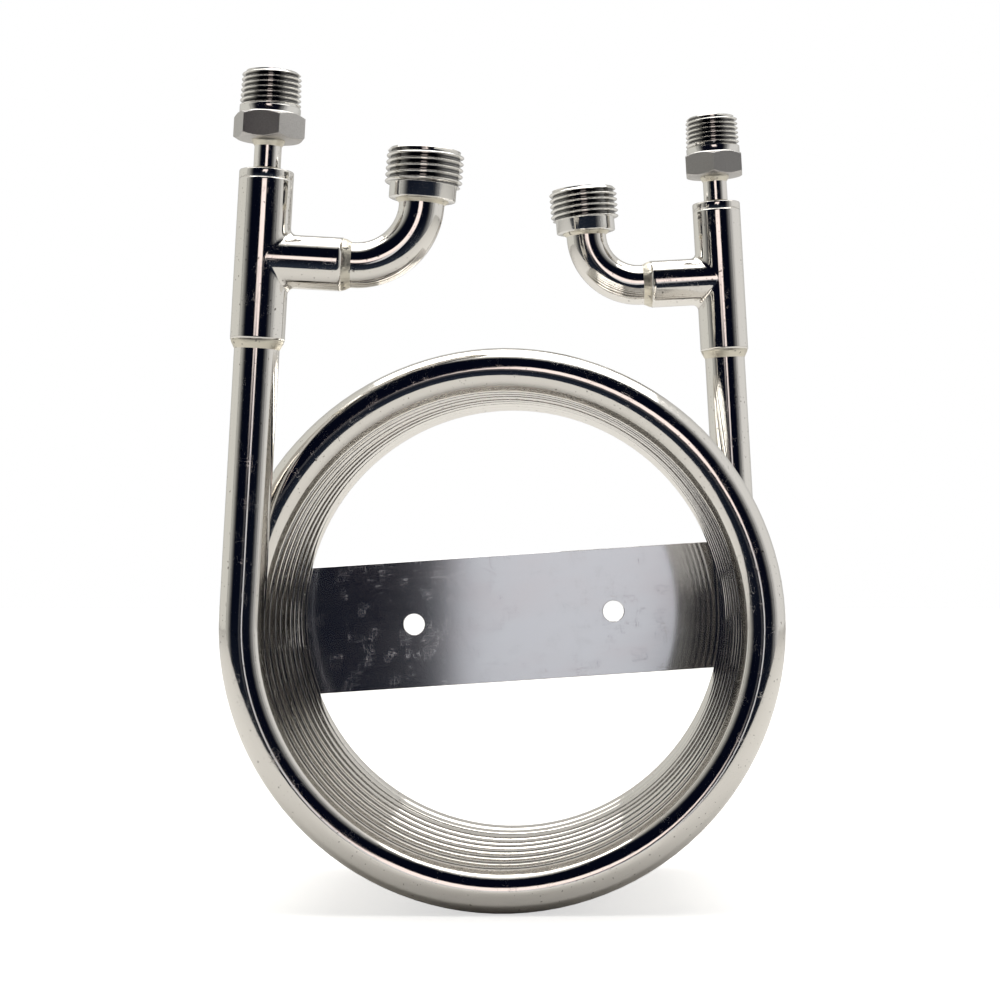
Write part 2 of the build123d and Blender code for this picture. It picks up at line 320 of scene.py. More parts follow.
# ------------------------------------------------------------------------------ node helpers
@dataclass
class Graph:
    """A node tree with short calls for placing and wiring nodes."""

    tree: NodeTree

    def node(self, kind: str, **settings: object) -> Node:
        """Add a node.

        Args:
            kind: Blender's node class name without the ShaderNode part.
            settings: Properties to set on it.

        Returns:
            The node.
        """
        made = self.tree.nodes.new("ShaderNode" + kind)
        for key, value in settings.items():
            setattr(made, key, value)
        return made

    def feed(self, socket: NodeSocket, value: object) -> None:
        """Link an output into a socket, or set the socket's own value."""
        if isinstance(value, NodeSocket):
            self.tree.links.new(value, socket)
        elif isinstance(value, tuple) and len(value) == 3 and socket.type == "RGBA":
            socket.default_value = (*value, 1.0)
        else:
            socket.default_value = value

    def maths(self, operation: str, *values: object, clamp: bool = False) -> NodeSocket:
        """One Math node; values are numbers or sockets."""
        made = self.node("Math", operation=operation, use_clamp=clamp)
        for index, value in enumerate(values):
            self.feed(made.inputs[index], value)
        return made.outputs[0]

    def ramp(self, value: object, low: float, high: float, start: object = 0.0,
             end: object = 1.0) -> NodeSocket:
        """Smooth step from one value to another.

        Args:
            value: Driving number.
            low: Input where the output is start.
            high: Input where the output is end.
            start: Output at and under low.
            end: Output at and over high.

        Returns:
            The mapped value.
        """
        made = self.node("MapRange", interpolation_type="SMOOTHSTEP", clamp=True)
        for index, item in enumerate((value, low, high, start, end)):
            self.feed(made.inputs[index], item)
        return made.outputs[0]

    def build_up(self, base: float, *layers: tuple[NodeSocket, float]) -> NodeSocket:
        """A base value with weighted masks added to it."""
        total = base
        for mask, weight in layers:
            total = self.maths("MULTIPLY_ADD", mask, weight, total)
        return total

    def scaled(self, vector: object, scale: tuple[float, float, float]) -> NodeSocket:
        """Multiply a vector by three factors."""
        made = self.node("VectorMath", operation="MULTIPLY")
        self.feed(made.inputs[0], vector)
        made.inputs[1].default_value = scale
        return made.outputs[0]

    def grain(self, vector: object, scale: float, detail: float = 3.0,
              roughness: float = 0.55) -> NodeSocket:
        """Noise value over a vector."""
        made = self.node("TexNoise", noise_dimensions="3D")
        self.feed(made.inputs["Vector"], vector)
        made.inputs["Scale"].default_value = scale
        made.inputs["Detail"].default_value = detail
        made.inputs["Roughness"].default_value = roughness
        return made.outputs["Fac"]

    def blend(self, factor: object, first: object, second: object) -> NodeSocket:
        """Mix two colours."""
        made = self.node("Mix", data_type="RGBA", blend_type="MIX")
        self.feed(made.inputs[0], factor)
        self.feed(made.inputs[6], first)
        self.feed(made.inputs[7], second)
        return made.outputs[2]

    def attribute(self, name: str, output: str) -> NodeSocket:
        """Read a mesh attribute."""
        return self.node("Attribute", attribute_name=name).outputs[output]

    def shared(self, group: NodeTree, **values: object) -> Node:
        """Place a shared effect with its own values.

        Args:
            group: The effect's node group.
            values: Inputs by name, with underscores for spaces.

        Returns:
            The group node.
        """
        made = self.tree.nodes.new("ShaderNodeGroup")
        made.node_tree = group
        for key, value in values.items():
            self.feed(made.inputs[key.replace("_", " ")], value)
        return made


def new_group(name: str, inputs: dict[str, str], outputs: dict[str, str]) -> tuple:
    """Start a shader node group.

    Args:
        name: Group name.
        inputs: Socket names and kinds, Float, Vector or Color.
        outputs: Socket names and kinds.

    Returns:
        The group's tree, its graph helper, its input node and its output node.
    """
    tree = bpy.data.node_groups.new(name, "ShaderNodeTree")
    for label, kind in inputs.items():
        tree.interface.new_socket(name=label, in_out="INPUT", socket_type="NodeSocket" + kind)
    for label, kind in outputs.items():
        tree.interface.new_socket(name=label, in_out="OUTPUT", socket_type="NodeSocket" + kind)
    return tree, Graph(tree), tree.nodes.new("NodeGroupInput"), tree.nodes.new("NodeGroupOutput")


# ------------------------------------------------------------------------------ shared effects
class Effects:
    """Shared node groups, each built once and placed in several finishes."""

    def __init__(self) -> None:
        """Build every group."""
        self.tool_lines = self._tool_lines()
        self.handling = self._handling()
        self.heat_tint = self._heat_tint()
        self.sand = self._sand()

    @staticmethod
    def _tool_lines() -> NodeTree:
        """Fine parallel lines left by drawing, polishing or turning.

        Returns:
            A group from Lines, a vector already stretched along the lines, to Height and Shade.
        """
        tree, graph, given, out = new_group(
            "tool_lines",
            {"Lines": "Vector", "Patches": "Vector"},
            {"Height": "Float", "Shade": "Float"},
        )
        fine = graph.grain(given.outputs["Lines"], 1.0, 4.0, 0.7)
        broad = graph.grain(given.outputs["Lines"], 0.23, 2.0, 0.5)
        patches = graph.ramp(graph.grain(given.outputs["Patches"], 1.0, 2.0), 0.35, 0.7, 0.35, 1.0)
        height = graph.maths("MULTIPLY", graph.maths("ADD", fine, broad), patches)
        graph.feed(out.inputs["Height"], height)
        graph.feed(out.inputs["Shade"], graph.ramp(fine, 0.3, 0.75))
        return tree

    @staticmethod
    def _handling() -> NodeTree:
        """Short scratches, small pits and faint smears from handling.

        Returns:
            A group from Place, in metres, and Wear to Scratches, Pits and Smears masks.
        """
        tree, graph, given, out = new_group(
            "handling_marks",
            {"Place": "Vector", "Wear": "Float"},
            {"Scratches": "Float", "Pits": "Float", "Smears": "Float"},
        )
        place, wear = given.outputs["Place"], given.outputs["Wear"]
        lines = []
        # Each scratch follows the level line of a noise stretched its own way.
        ways = (((60, 700, 420), 0.006), ((620, 90, 380), 0.005), ((330, 360, 70), 0.004))
        patches = graph.ramp(graph.grain(graph.scaled(place, (140, 140, 140)), 1.0, 2.0), 0.52, 0.62)
        for stretch, thin in ways:
            level = graph.grain(graph.scaled(place, stretch), 1.0, 1.0)
            away = graph.maths("ABSOLUTE", graph.maths("SUBTRACT", level, 0.5))
            lines.append(graph.maths("MULTIPLY", graph.ramp(away, 0.0, thin, 1.0, 0.0), patches))
        scratches = graph.maths("MAXIMUM", graph.maths("MAXIMUM", lines[0], lines[1]), lines[2])
        pits = graph.ramp(graph.grain(graph.scaled(place, (900, 900, 900)), 1.0, 1.0), 0.70, 0.76)
        smears = graph.ramp(graph.grain(graph.scaled(place, (38, 38, 38)), 1.0, 3.0), 0.42, 0.72)
        graph.feed(out.inputs["Scratches"], graph.maths("MULTIPLY", scratches, wear))
        graph.feed(out.inputs["Pits"], graph.maths("MULTIPLY", pits, wear))
        graph.feed(out.inputs["Smears"], smears)
        return tree

    @staticmethod
    def _heat_tint() -> NodeTree:
        """Straw to brown-violet film that welding leaves on steel.

        Returns:
            A group from Color, Heat and Place to the tinted Color and a Film mask.
        """
        tree, graph, given, out = new_group(
            "heat_tint",
            {"Color": "Color", "Heat": "Float", "Place": "Vector"},
            {"Color": "Color", "Film": "Float"},
        )
        uneven = graph.grain(graph.scaled(given.outputs["Place"], (260, 260, 260)), 1.0, 3.0)
        level = graph.maths(
            "MULTIPLY", given.outputs["Heat"], graph.ramp(uneven, 0.3, 0.65, 0.45, 1.15), clamp=True
        )
        straw = graph.blend(
            graph.ramp(level, 0.05, 0.5, 0.0, 0.75), given.outputs["Color"], (0.72, 0.63, 0.46)
        )
        brown = graph.blend(graph.ramp(level, 0.55, 0.95, 0.0, 0.55), straw, (0.36, 0.29, 0.27))
        graph.feed(out.inputs["Color"], brown)
        graph.feed(out.inputs["Film"], level)
        return tree

    @staticmethod
    def _sand() -> NodeTree:
        """Sandy grain of cast or blasted steel.

        Returns:
            A group from Place, in metres, to Height and Shade.
        """
        tree, graph, given, out = new_group(
            "sand_grain", {"Place": "Vector"}, {"Height": "Float", "Shade": "Float"}
        )
        place = given.outputs["Place"]
        fine = graph.grain(graph.scaled(place, (2600, 2600, 2600)), 1.0, 2.0)
        broad = graph.grain(graph.scaled(place, (700, 700, 700)), 1.0, 3.0)
        graph.feed(out.inputs["Height"], graph.maths("ADD", fine, broad))
        graph.feed(out.inputs["Shade"], graph.ramp(fine, 0.3, 0.7))
        return tree


# ------------------------------------------------------------------------------ finishes
def start_material(name: str) -> tuple[Material, Graph, Node]:
    """Make an empty steel material.

    Args:
        name: Material name.

    Returns:
        The material, its graph helper and its Principled shader.
    """
    material = bpy.data.materials.new(name)
    material.use_nodes = True
    graph = Graph(material.node_tree)
    shader = material.node_tree.nodes["Principled BSDF"]
    shader.inputs["Metallic"].default_value = 1.0
    return material, graph, shader


def set_bump(graph: Graph, shader: Node, layers: list[tuple[object, float]]) -> None:
    """Chain Bump nodes into the shader's Normal.

    Args:
        graph: The material's graph.
        shader: The Principled shader.
        layers: Pairs of height value and depth in metres.
    """
    normal = None
    for height, depth in layers:
        bump = graph.node("Bump")
        bump.inputs["Strength"].default_value = 1.0
        bump.inputs["Distance"].default_value = depth
        graph.feed(bump.inputs["Height"], height)
        if normal is not None:
            graph.feed(bump.inputs["Normal"], normal)
        normal = bump.outputs["Normal"]
    graph.feed(shader.inputs["Normal"], normal)


@dataclass(frozen=True)
class PolishedSteel:
    """Mirror-bright tube steel with lines along it, light scratches and weld tint."""

    name: str = "polished_tube_steel"
    colour: tuple[float, float, float] = (0.80, 0.775, 0.735)
    roughness: float = 0.055
    line_depth: float = 0.0000016
    wear: float = 1.0

    def build(self, effects: Effects) -> Material:
        """Make the material.

        Args:
            effects: Shared node groups.

        Returns:
            The material.
        """
        material, graph, shader = start_material(self.name)
        lay = graph.attribute(LAY, "Vector")
        lines = graph.shared(
            effects.tool_lines,
            Lines=graph.scaled(lay, (6, 900, 900)),
            Patches=graph.scaled(lay, (20, 60, 60)),
        )
        marks = graph.shared(effects.handling, Place=lay, Wear=self.wear)
        tint = graph.shared(
            effects.heat_tint, Color=self.colour, Heat=graph.attribute(HEAT, "Fac"), Place=lay
        )
        dull = graph.blend(marks.outputs["Pits"], tint.outputs["Color"], (0.30, 0.28, 0.26))
        graph.feed(shader.inputs["Base Color"], dull)
        graph.feed(shader.inputs["Roughness"], graph.build_up(
            self.roughness, (lines.outputs["Shade"], 0.03), (marks.outputs["Smears"], 0.035),
            (marks.outputs["Scratches"], 0.22), (tint.outputs["Film"], 0.14),
        ))
        set_bump(graph, shader, [
            (lines.outputs["Height"], self.line_depth),
            (marks.outputs["Scratches"], -0.000004),
        ])
        return material


@dataclass(frozen=True)
class TurnedSteel:
    """Bright turned steel with rings round the piece, and painted shade that darkens its thread
    grooves.
    """

    name: str = "turned_thread_steel"
    colour: tuple[float, float, float] = (0.78, 0.765, 0.735)
    # dark and the field below set the colour and strength of the painted shade in the thread grooves.
    dark: tuple[float, float, float] = (0.12, 0.12, 0.125)
    groove_shade: float = 0.75
    roughness: float = 0.08

    def build(self, effects: Effects) -> Material:
        """Make the material.

        Args:
            effects: Shared node groups.

        Returns:
            The material.
        """
        material, graph, shader = start_material(self.name)
        lay = graph.attribute(LAY, "Vector")
        lines = graph.shared(
            effects.tool_lines,
            Lines=graph.scaled(lay, (5200, 22, 22)),
            Patches=graph.scaled(lay, (90, 90, 90)),
        )
        marks = graph.shared(effects.handling, Place=lay, Wear=0.8)
        tint = graph.shared(
            effects.heat_tint, Color=self.colour, Heat=graph.attribute(HEAT, "Fac"), Place=lay
        )
        # Painted shade: the base colour darkens towards the bottom of each thread groove, standing in
        # for the shade that falls there.
        groove_shade = graph.ramp(graph.attribute(GROOVE, "Fac"), 0.12, 0.75, 0.0, self.groove_shade)
        graph.feed(shader.inputs["Base Color"], graph.blend(groove_shade, tint.outputs["Color"], self.dark))
        graph.feed(shader.inputs["Roughness"], graph.build_up(
            self.roughness, (lines.outputs["Shade"], 0.08), (marks.outputs["Scratches"], 0.2)
        ))
        set_bump(graph, shader, [(lines.outputs["Height"], 0.0000035)])
        return material


@dataclass(frozen=True)
class SandySteel:
    """Dull hexagon steel with a sandy grain."""

    name: str = "sandy_hexagon_steel"
    colour: tuple[float, float, float] = (0.56, 0.545, 0.53)
    roughness: float = 0.36

    def build(self, effects: Effects) -> Material:
        """Make the material.

        Args:
            effects: Shared node groups.

        Returns:
            The material.
        """
        material, graph, shader = start_material(self.name)
        lay = graph.attribute(LAY, "Vector")
        sand = graph.shared(effects.sand, Place=lay)
        marks = graph.shared(effects.handling, Place=lay, Wear=0.6)
        shade = graph.ramp(sand.outputs["Shade"], 0.0, 1.0, 0.0, 0.5)
        colour = graph.blend(shade, self.colour, tuple(0.78 * part for part in self.colour))
        tint = graph.shared(
            effects.heat_tint, Color=colour, Heat=graph.attribute(HEAT, "Fac"), Place=lay
        )
        graph.feed(shader.inputs["Base Color"], tint.outputs["Color"])
        graph.feed(shader.inputs["Roughness"], graph.build_up(
            self.roughness, (sand.outputs["Shade"], 0.10), (marks.outputs["Smears"], 0.08)
        ))
        set_bump(graph, shader, [(sand.outputs["Height"], 0.000035)])
        return material


@dataclass(frozen=True)
class BrushedSteel:
    """Flat strip steel with straight brushing along its length."""

    name: str = "brushed_strip_steel"
    colour: tuple[float, float, float] = (0.74, 0.745, 0.76)
    roughness: float = 0.06
    scatter: float = 0.5
    across: tuple[float, float, float] = (-0.066, 0.003, 0.998)

    def build(self, effects: Effects) -> Material:
        """Make the material.

        Args:
            effects: Shared node groups.

        Returns:
            The material.
        """
        material, graph, shader = start_material(self.name)
        lay = graph.attribute(LAY, "Vector")
        lines = graph.shared(
            effects.tool_lines,
            Lines=graph.scaled(lay, (26, 6200, 6200)),
            Patches=graph.scaled(lay, (14, 40, 40)),
        )
        marks = graph.shared(effects.handling, Place=lay, Wear=0.6)
        clouds = graph.grain(graph.scaled(lay, (22, 46, 46)), 1.0, 3.0)
        tint = graph.shared(
            effects.heat_tint, Color=self.colour, Heat=graph.attribute(HEAT, "Fac"), Place=lay
        )
        colour = graph.blend(graph.ramp(clouds, 0.4, 0.75, 0.0, 0.35), tint.outputs["Color"],
                             (0.76, 0.70, 0.70))
        graph.feed(shader.inputs["Base Color"], colour)
        graph.feed(shader.inputs["Roughness"], graph.build_up(
            self.roughness, (lines.outputs["Shade"], 0.02), (clouds, 0.03),
            (marks.outputs["Scratches"], 0.2),
        ))
        shader.inputs["Anisotropic"].default_value = self.scatter
        across = graph.node("CombineXYZ")
        for socket, part in zip(across.inputs, self.across):
            socket.default_value = part
        graph.feed(shader.inputs["Tangent"], across.outputs[0])
        set_bump(graph, shader, [
            (lines.outputs["Height"], 0.0000006),
            (marks.outputs["Scratches"], -0.0000015),
        ])
        return material


@dataclass(frozen=True)
class WeldSteel:
    """Satin weld metal, pale straw with dark oxide specks."""

    name: str = "weld_bead_steel"
    colour: tuple[float, float, float] = (0.74, 0.70, 0.60)
    oxide: tuple[float, float, float] = (0.10, 0.095, 0.10)
    roughness: float = 0.30

    def build(self, effects: Effects) -> Material:
        """Make the material.

        Args:
            effects: Shared node groups.

        Returns:
            The material.
        """
        material, graph, shader = start_material(self.name)
        place = graph.node("TexCoord").outputs["Object"]
        heat = graph.attribute(HEAT, "Fac")
        specks = graph.grain(graph.scaled(place, (520, 520, 520)), 1.0, 3.0)
        level = graph.maths("MULTIPLY_ADD", heat, 0.16, specks)
        mask = graph.ramp(level, 0.60, 0.70, 0.0, 0.85)
        sand = graph.shared(effects.sand, Place=place)
        graph.feed(shader.inputs["Base Color"], graph.blend(mask, self.colour, self.oxide))
        graph.feed(shader.inputs["Roughness"], graph.build_up(
            self.roughness, (sand.outputs["Shade"], 0.12), (mask, 0.2)
        ))
        set_bump(graph, shader, [(sand.outputs["Height"], 0.00006)])
        return material


@dataclass
class Finishes:
    """Every finish of the chiller, built once."""

    effects: Effects = field(default_factory=Effects)

    def __post_init__(self) -> None:
        """Build the materials."""
        self.tube = PolishedSteel().build(self.effects)
        inner = PolishedSteel(name="inner_tube_steel", roughness=0.07, wear=0.6)
        self.neck = inner.build(self.effects)
        self.thread = TurnedSteel().build(self.effects)
        self.hexagon = SandySteel().build(self.effects)
        self.strip = BrushedSteel().build(self.effects)
        self.weld = WeldSteel().build(self.effects)


# ------------------------------------------------------------------------------ the winding path
@dataclass(frozen=True)
class Winding:
    """Centreline shared by both long tubes: half turns that lean to and fro, and two legs."""

    tube_od: float = 15.875 * MM
    coil_radius: float = 90.5 * MM
    tube_wall: float = 0.889 * MM
    socket: float = 8.0 * MM
    winding_gap: float = 0.25 * MM
    whole_turns: int = 8
    strip_thickness: float = 1.5875 * MM
    lean: dict = field(default_factory=lambda: {
        End.FRONT: math.radians(3.1), End.REAR: math.radians(3.2)
    })
    leg: dict = field(default_factory=lambda: {End.FRONT: 95.7 * MM, End.REAR: 102.5 * MM})

    @property
    def half_turns(self) -> int:
        """Number of half turns."""
        return 2 * self.whole_turns + 1

    @property
    def pitch(self) -> float:
        """Travel along the coil axis in one turn."""
        return self.tube_od + self.winding_gap

    @property
    def tilt(self) -> float:
        """How far each half turn leans, in radians."""
        return math.atan2(self.pitch / 4, self.coil_radius)

    @property
    def arc_radius(self) -> float:
        """Radius of a leaning half turn."""
        return math.hypot(self.coil_radius, self.pitch / 4)

    @property
    def shift(self) -> float:
        """Where the front leg lies along Y."""
        back = (self.half_turns - 0.5) * self.pitch / 2
        return -(back + (self.tube_od / 2 + self.strip_thickness) / math.cos(self.tilt))

    def centre(self, turn: int) -> Vector:
        """Centre of a half turn."""
        return Vector((0, self.shift + (turn + 0.5) * self.pitch / 2, 0))

    def side(self, turn: int) -> Vector:
        """Unit vector from a half turn's centre to its +X end."""
        lean = self.tilt if turn % 2 == 0 else -self.tilt
        return Vector((math.cos(lean), math.sin(lean), 0))

    def up(self, turn: int) -> Vector:
        """Unit vector from a half turn's centre to its middle."""
        return Vector((0, 0, -1 if turn % 2 == 0 else 1))

    def away(self, turn: int) -> Vector:
        """Unit vector from a half turn's start to its centre."""
        return self.side(turn) * (1 if turn % 2 == 0 else -1)

    def out(self, turn: int, angle: float) -> Vector:
        """Unit vector from a half turn's centre to its point at an angle from its start."""
        return self.away(turn) * -math.cos(angle) + self.up(turn) * math.sin(angle)

    def along(self, turn: int, angle: float) -> Vector:
        """Direction of travel at an angle of a half turn."""
        return self.away(turn) * math.sin(angle) + self.up(turn) * math.cos(angle)

    def point(self, turn: int, angle: float) -> Vector:
        """Point on a half turn; the angle runs from 0 at its start to pi at its end."""
        return self.centre(turn) + self.out(turn, angle) * self.arc_radius

    def span(self, turn: int) -> tuple[float, float]:
        """Start and end angle of a half turn, with the run into a leg."""
        start = -self.lean[End.FRONT] if turn == 0 else 0.0
        end = math.pi + (self.lean[End.REAR] if turn == self.half_turns - 1 else 0.0)
        return start, end

    def end_turn(self, end: End) -> int:
        """Half turn that a leg grows from."""
        return 0 if end is End.FRONT else self.half_turns - 1

    def foot(self, end: End) -> Vector:
        """Where a leg leaves the coil."""
        start, stop = self.span(self.end_turn(end))
        return self.point(self.end_turn(end), start if end is End.FRONT else stop)

    def leg_axis(self, end: End) -> Vector:
        """Direction up a leg."""
        side = self.side(self.end_turn(end))
        inward = 1 if end is End.FRONT else -1
        lean = self.lean[end]
        return side * (math.sin(lean) * inward) + Vector((0, 0, math.cos(lean)))

    def branch(self, end: End) -> Vector:
        """Direction of a tee's branch, towards the other leg."""
        side = self.side(self.end_turn(end))
        inward = 1 if end is End.FRONT else -1
        lean = self.lean[end]
        return side * (math.cos(lean) * inward) - Vector((0, 0, math.sin(lean)))

    def sweep(
        self, radius: float, around: int, per_half: int, reach: dict, leg_steps: int
    ) -> BMesh:
        """Sweep a circle along the front leg, the coil and the rear leg.

        Args:
            radius: Tube radius.
            around: Segments round the tube.
            per_half: Segments in a half turn.
            reach: Length of straight tube above each foot.
            leg_steps: Segments in each leg.

        Returns:
            The open tube surface.
        """
        bm = bmesh.new()
        axis = self.leg_axis(End.FRONT)
        top = self.foot(End.FRONT) + axis * reach[End.FRONT]
        place = axes_matrix(top, -axis, self.branch(End.FRONT))
        last = ring_start(bm, place, radius, around)
        last = push(bm, last, -axis * reach[End.FRONT], leg_steps)
        for turn in range(self.half_turns):
            start, stop = self.span(turn)
            spin_axis = self.out(turn, start).cross(self.along(turn, start))
            last = bend(bm, last, self.centre(turn), spin_axis, stop - start, per_half)
        axis = self.leg_axis(End.REAR)
        push(bm, last, axis * reach[End.REAR], leg_steps)
        return bm

    def straightened(self, spot: Vector) -> Vector:
        """Coordinates of a point as if the tube were pulled straight.

        Args:
            spot: A point on or in the tube.

        Returns:
            Length along the tube, then the offset away from the coil axis and along it.
        """
        half_length = math.pi * self.arc_radius
        for end in End:
            rise = (spot - self.foot(end)).dot(self.leg_axis(end))
            turn = self.end_turn(end)
            off = spot - self.foot(end) - self.leg_axis(end) * rise
            if rise > 0 and off.length < 0.6 * self.tube_od:
                outward = -self.branch(end)
                depth = self.leg_axis(end).cross(outward)
                if end is End.FRONT:
                    return Vector((-rise, off.dot(outward), off.dot(depth)))
                length = self.half_turns * half_length + rise
                return Vector((length, off.dot(outward), -off.dot(depth)))
        best = None
        guess = round((spot.y - self.shift) / (self.pitch / 2) - 0.5)
        for turn in range(max(0, guess - 2), min(self.half_turns, guess + 3)):
            rel = spot - self.centre(turn)
            angle = math.atan2(rel.dot(self.up(turn)), -rel.dot(self.away(turn)))
            start, stop = self.span(turn)
            if angle < -math.pi / 2:
                angle += math.tau
            angle = min(max(angle, start), stop)
            off = rel - self.out(turn, angle) * self.arc_radius
            if best is None or off.length < best[0]:
                best = (off.length, turn, angle, off)
        _, turn, angle, off = best
        across = self.out(turn, angle).cross(self.along(turn, angle))
        return Vector((turn * half_length + angle * self.arc_radius,
                       off.dot(self.out(turn, angle)), off.dot(across)))


@dataclass(frozen=True)
class EndPlan:
    """Heights and directions shared by the pieces of one end."""

    winding: Winding
    end: End
    tee_reach: float = 28.0 * MM
    cap: float = 3.2 * MM
    neck: float = 10.6 * MM
    elbow_radii: dict = field(default_factory=lambda: {
        End.FRONT: 22.5 * MM, End.REAR: 20.7 * MM
    })
    elbow_angle: float = math.radians(88.5)
    lead_in: float = 4.0 * MM
    lead_out: float = 2.0 * MM
    hose_socket: float = 3.0 * MM
    inner_r: float = 9.525 / 2 * MM
    tee_r: float = 9.525 * MM
    branch_r: float = 9.325 * MM

    @property
    def elbow_radius(self) -> float:
        """Bend radius of this end's elbow."""
        return self.elbow_radii[self.end]

    @property
    def tube_r(self) -> float:
        """Outer tube radius."""
        return self.winding.tube_od / 2

    @property
    def axis(self) -> Vector:
        """Direction up the leg."""
        return self.winding.leg_axis(self.end)

    @property
    def branch(self) -> Vector:
        """Direction of the branch."""
        return self.winding.branch(self.end)

    @property
    def tee_centre(self) -> Vector:
        """Where the tee's two axes cross."""
        return self.at_height(self.winding.leg[self.end] + self.tee_reach)

    @property
    def hex_height_on_leg(self) -> float:
        """Distance from the foot to the hexagon's underside."""
        return self.winding.leg[self.end] + 2 * self.tee_reach + self.cap + self.neck

    def at_height(self, height: float) -> Vector:
        """Point on the leg's axis at a distance from its foot."""
        return self.winding.foot(self.end) + self.axis * height

    @property
    def bend_start(self) -> Vector:
        """Where the elbow starts to bend."""
        return self.tee_centre + self.branch * (self.tee_reach + self.lead_in)

    @property
    def bend_centre(self) -> Vector:
        """Centre of the elbow's bend."""
        return self.bend_start + self.axis * self.elbow_radius

    @property
    def hose_axis(self) -> Vector:
        """Direction up through the hose fitting."""
        return self.branch * math.cos(self.elbow_angle) + self.axis * math.sin(self.elbow_angle)

    @property
    def bend_end(self) -> Vector:
        """Where the elbow's bend stops."""
        out = self.branch * math.sin(self.elbow_angle) - self.axis * math.cos(self.elbow_angle)
        return self.bend_centre + out * self.elbow_radius

    @property
    def hose_base(self) -> Vector:
        """Underside centre of the hose fitting."""
        return self.bend_end + self.hose_axis * self.lead_out

    def piece(self, what: str) -> str:
        """Name of a CAD node at this end."""
        return f"{self.end.value}_{what}"


def hand_in(piece: Object, slot: Slot, *nodes: str) -> None:
    """Tie a finished piece to the solid model.

    Args:
        piece: The new piece.
        slot: Material slot of the record; not used.
        nodes: CAD nodes that it stands for.
    """
    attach(piece, "root")
    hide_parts(*nodes)
    LOG.info("%s stands for %s", piece.name, ", ".join(nodes))


# ------------------------------------------------------------------------------ the long tubes
@dataclass
class LongTubes:
    """The water tube that shows as the coil and legs, and the wort tube inside it."""

    winding: Winding
    finishes: Finishes
    around: int = 40
    per_half: int = 56
    leg_steps: int = 18
    inner_around: int = 28
    inner_per_half: int = 36
    inner_leg_steps: int = 24
    swell: float = 0.30 * MM

    def unevenness(self, spot: Vector) -> Vector:
        """Small hand-wound irregularity of the coil.

        Args:
            spot: A point on the tube.

        Returns:
            The shift of that point, a fraction of a millimetre.
        """
        radial = Vector((spot.x, 0, spot.z))
        if radial.length < 1e-6:
            return Vector()
        radial.normalize()
        where = Vector((spot.x * 9, spot.y * 62, spot.z * 9))
        swell = self.swell * noise.noise(where)
        near_strip = min(1.0, max(0.0, -spot.y - 0.030) / 0.03)
        on_coil = min(1.0, max(0.0, 0.104 - Vector((spot.x, 0, spot.z)).length) / 0.004)
        low = 1.0 if spot.z < 0.02 else max(0.0, 1.0 - (spot.z - 0.02) / 0.02)
        guard = 1.0 if abs(spot.x) < 0.075 else low
        return radial * (swell * near_strip * on_coil * guard)

    def heat(self, spot: Vector) -> float:
        """Nearness of a point to the weld at either tee."""
        best = 0.0
        for end in End:
            top = self.winding.foot(end) + self.winding.leg_axis(end) * self.winding.leg[end]
            best = max(best, fade((spot - top).length - 8 * MM, 5.5 * MM) if
                       (spot - top).length < 0.03 else 0.0)
        return best

    def build_water_tube(self) -> None:
        """Make the thick tube from tee to tee."""
        winding = self.winding
        reach = {end: winding.leg[end] + winding.socket for end in End}
        bm = winding.sweep(
            winding.tube_od / 2, self.around, self.per_half, reach, self.leg_steps
        )
        write_layers(bm, winding.straightened, self.heat)
        for vert in bm.verts:
            vert.co += self.unevenness(vert.co)
        piece = into_object(bm, "water_tube_coil", self.finishes.tube)
        tube_wall(piece, winding.tube_wall)
        last = 2 * winding.half_turns
        quarters = [f"coil_quarter_{number:02d}" for number in range(1, last + 1)]
        hand_in(piece, Slot.TUBE, "front_leg_tube", *quarters, "rear_leg_tube")

    def build_wort_tube(self, plans: dict[End, EndPlan]) -> None:
        """Make the thin tube from hexagon to hexagon.

        Args:
            plans: Both ends' plans.
        """
        reach = {end: plans[end].hex_height_on_leg + 6.0 * MM for end in End}
        bm = self.winding.sweep(
            plans[End.FRONT].inner_r, self.inner_around, self.inner_per_half, reach,
            self.inner_leg_steps,
        )

        def heat(spot: Vector) -> float:
            """Nearness to the welds at the cap and the hexagon."""
            best = 0.0
            for end in End:
                rise = (spot - plans[end].at_height(0)).dot(plans[end].axis)
                if spot.z > 0.1 and (spot.x < 0) == (end is End.FRONT):
                    best = max(best, fade(rise - plans[end].hex_height_on_leg, 2.5 * MM))
            return best

        write_layers(bm, self.winding.straightened, heat)
        piece = into_object(bm, "wort_tube_coil", self.finishes.neck)
        tube_wall(piece, self.winding.tube_wall)
        hand_in(piece, Slot.INNER, "inner_wort_tube")


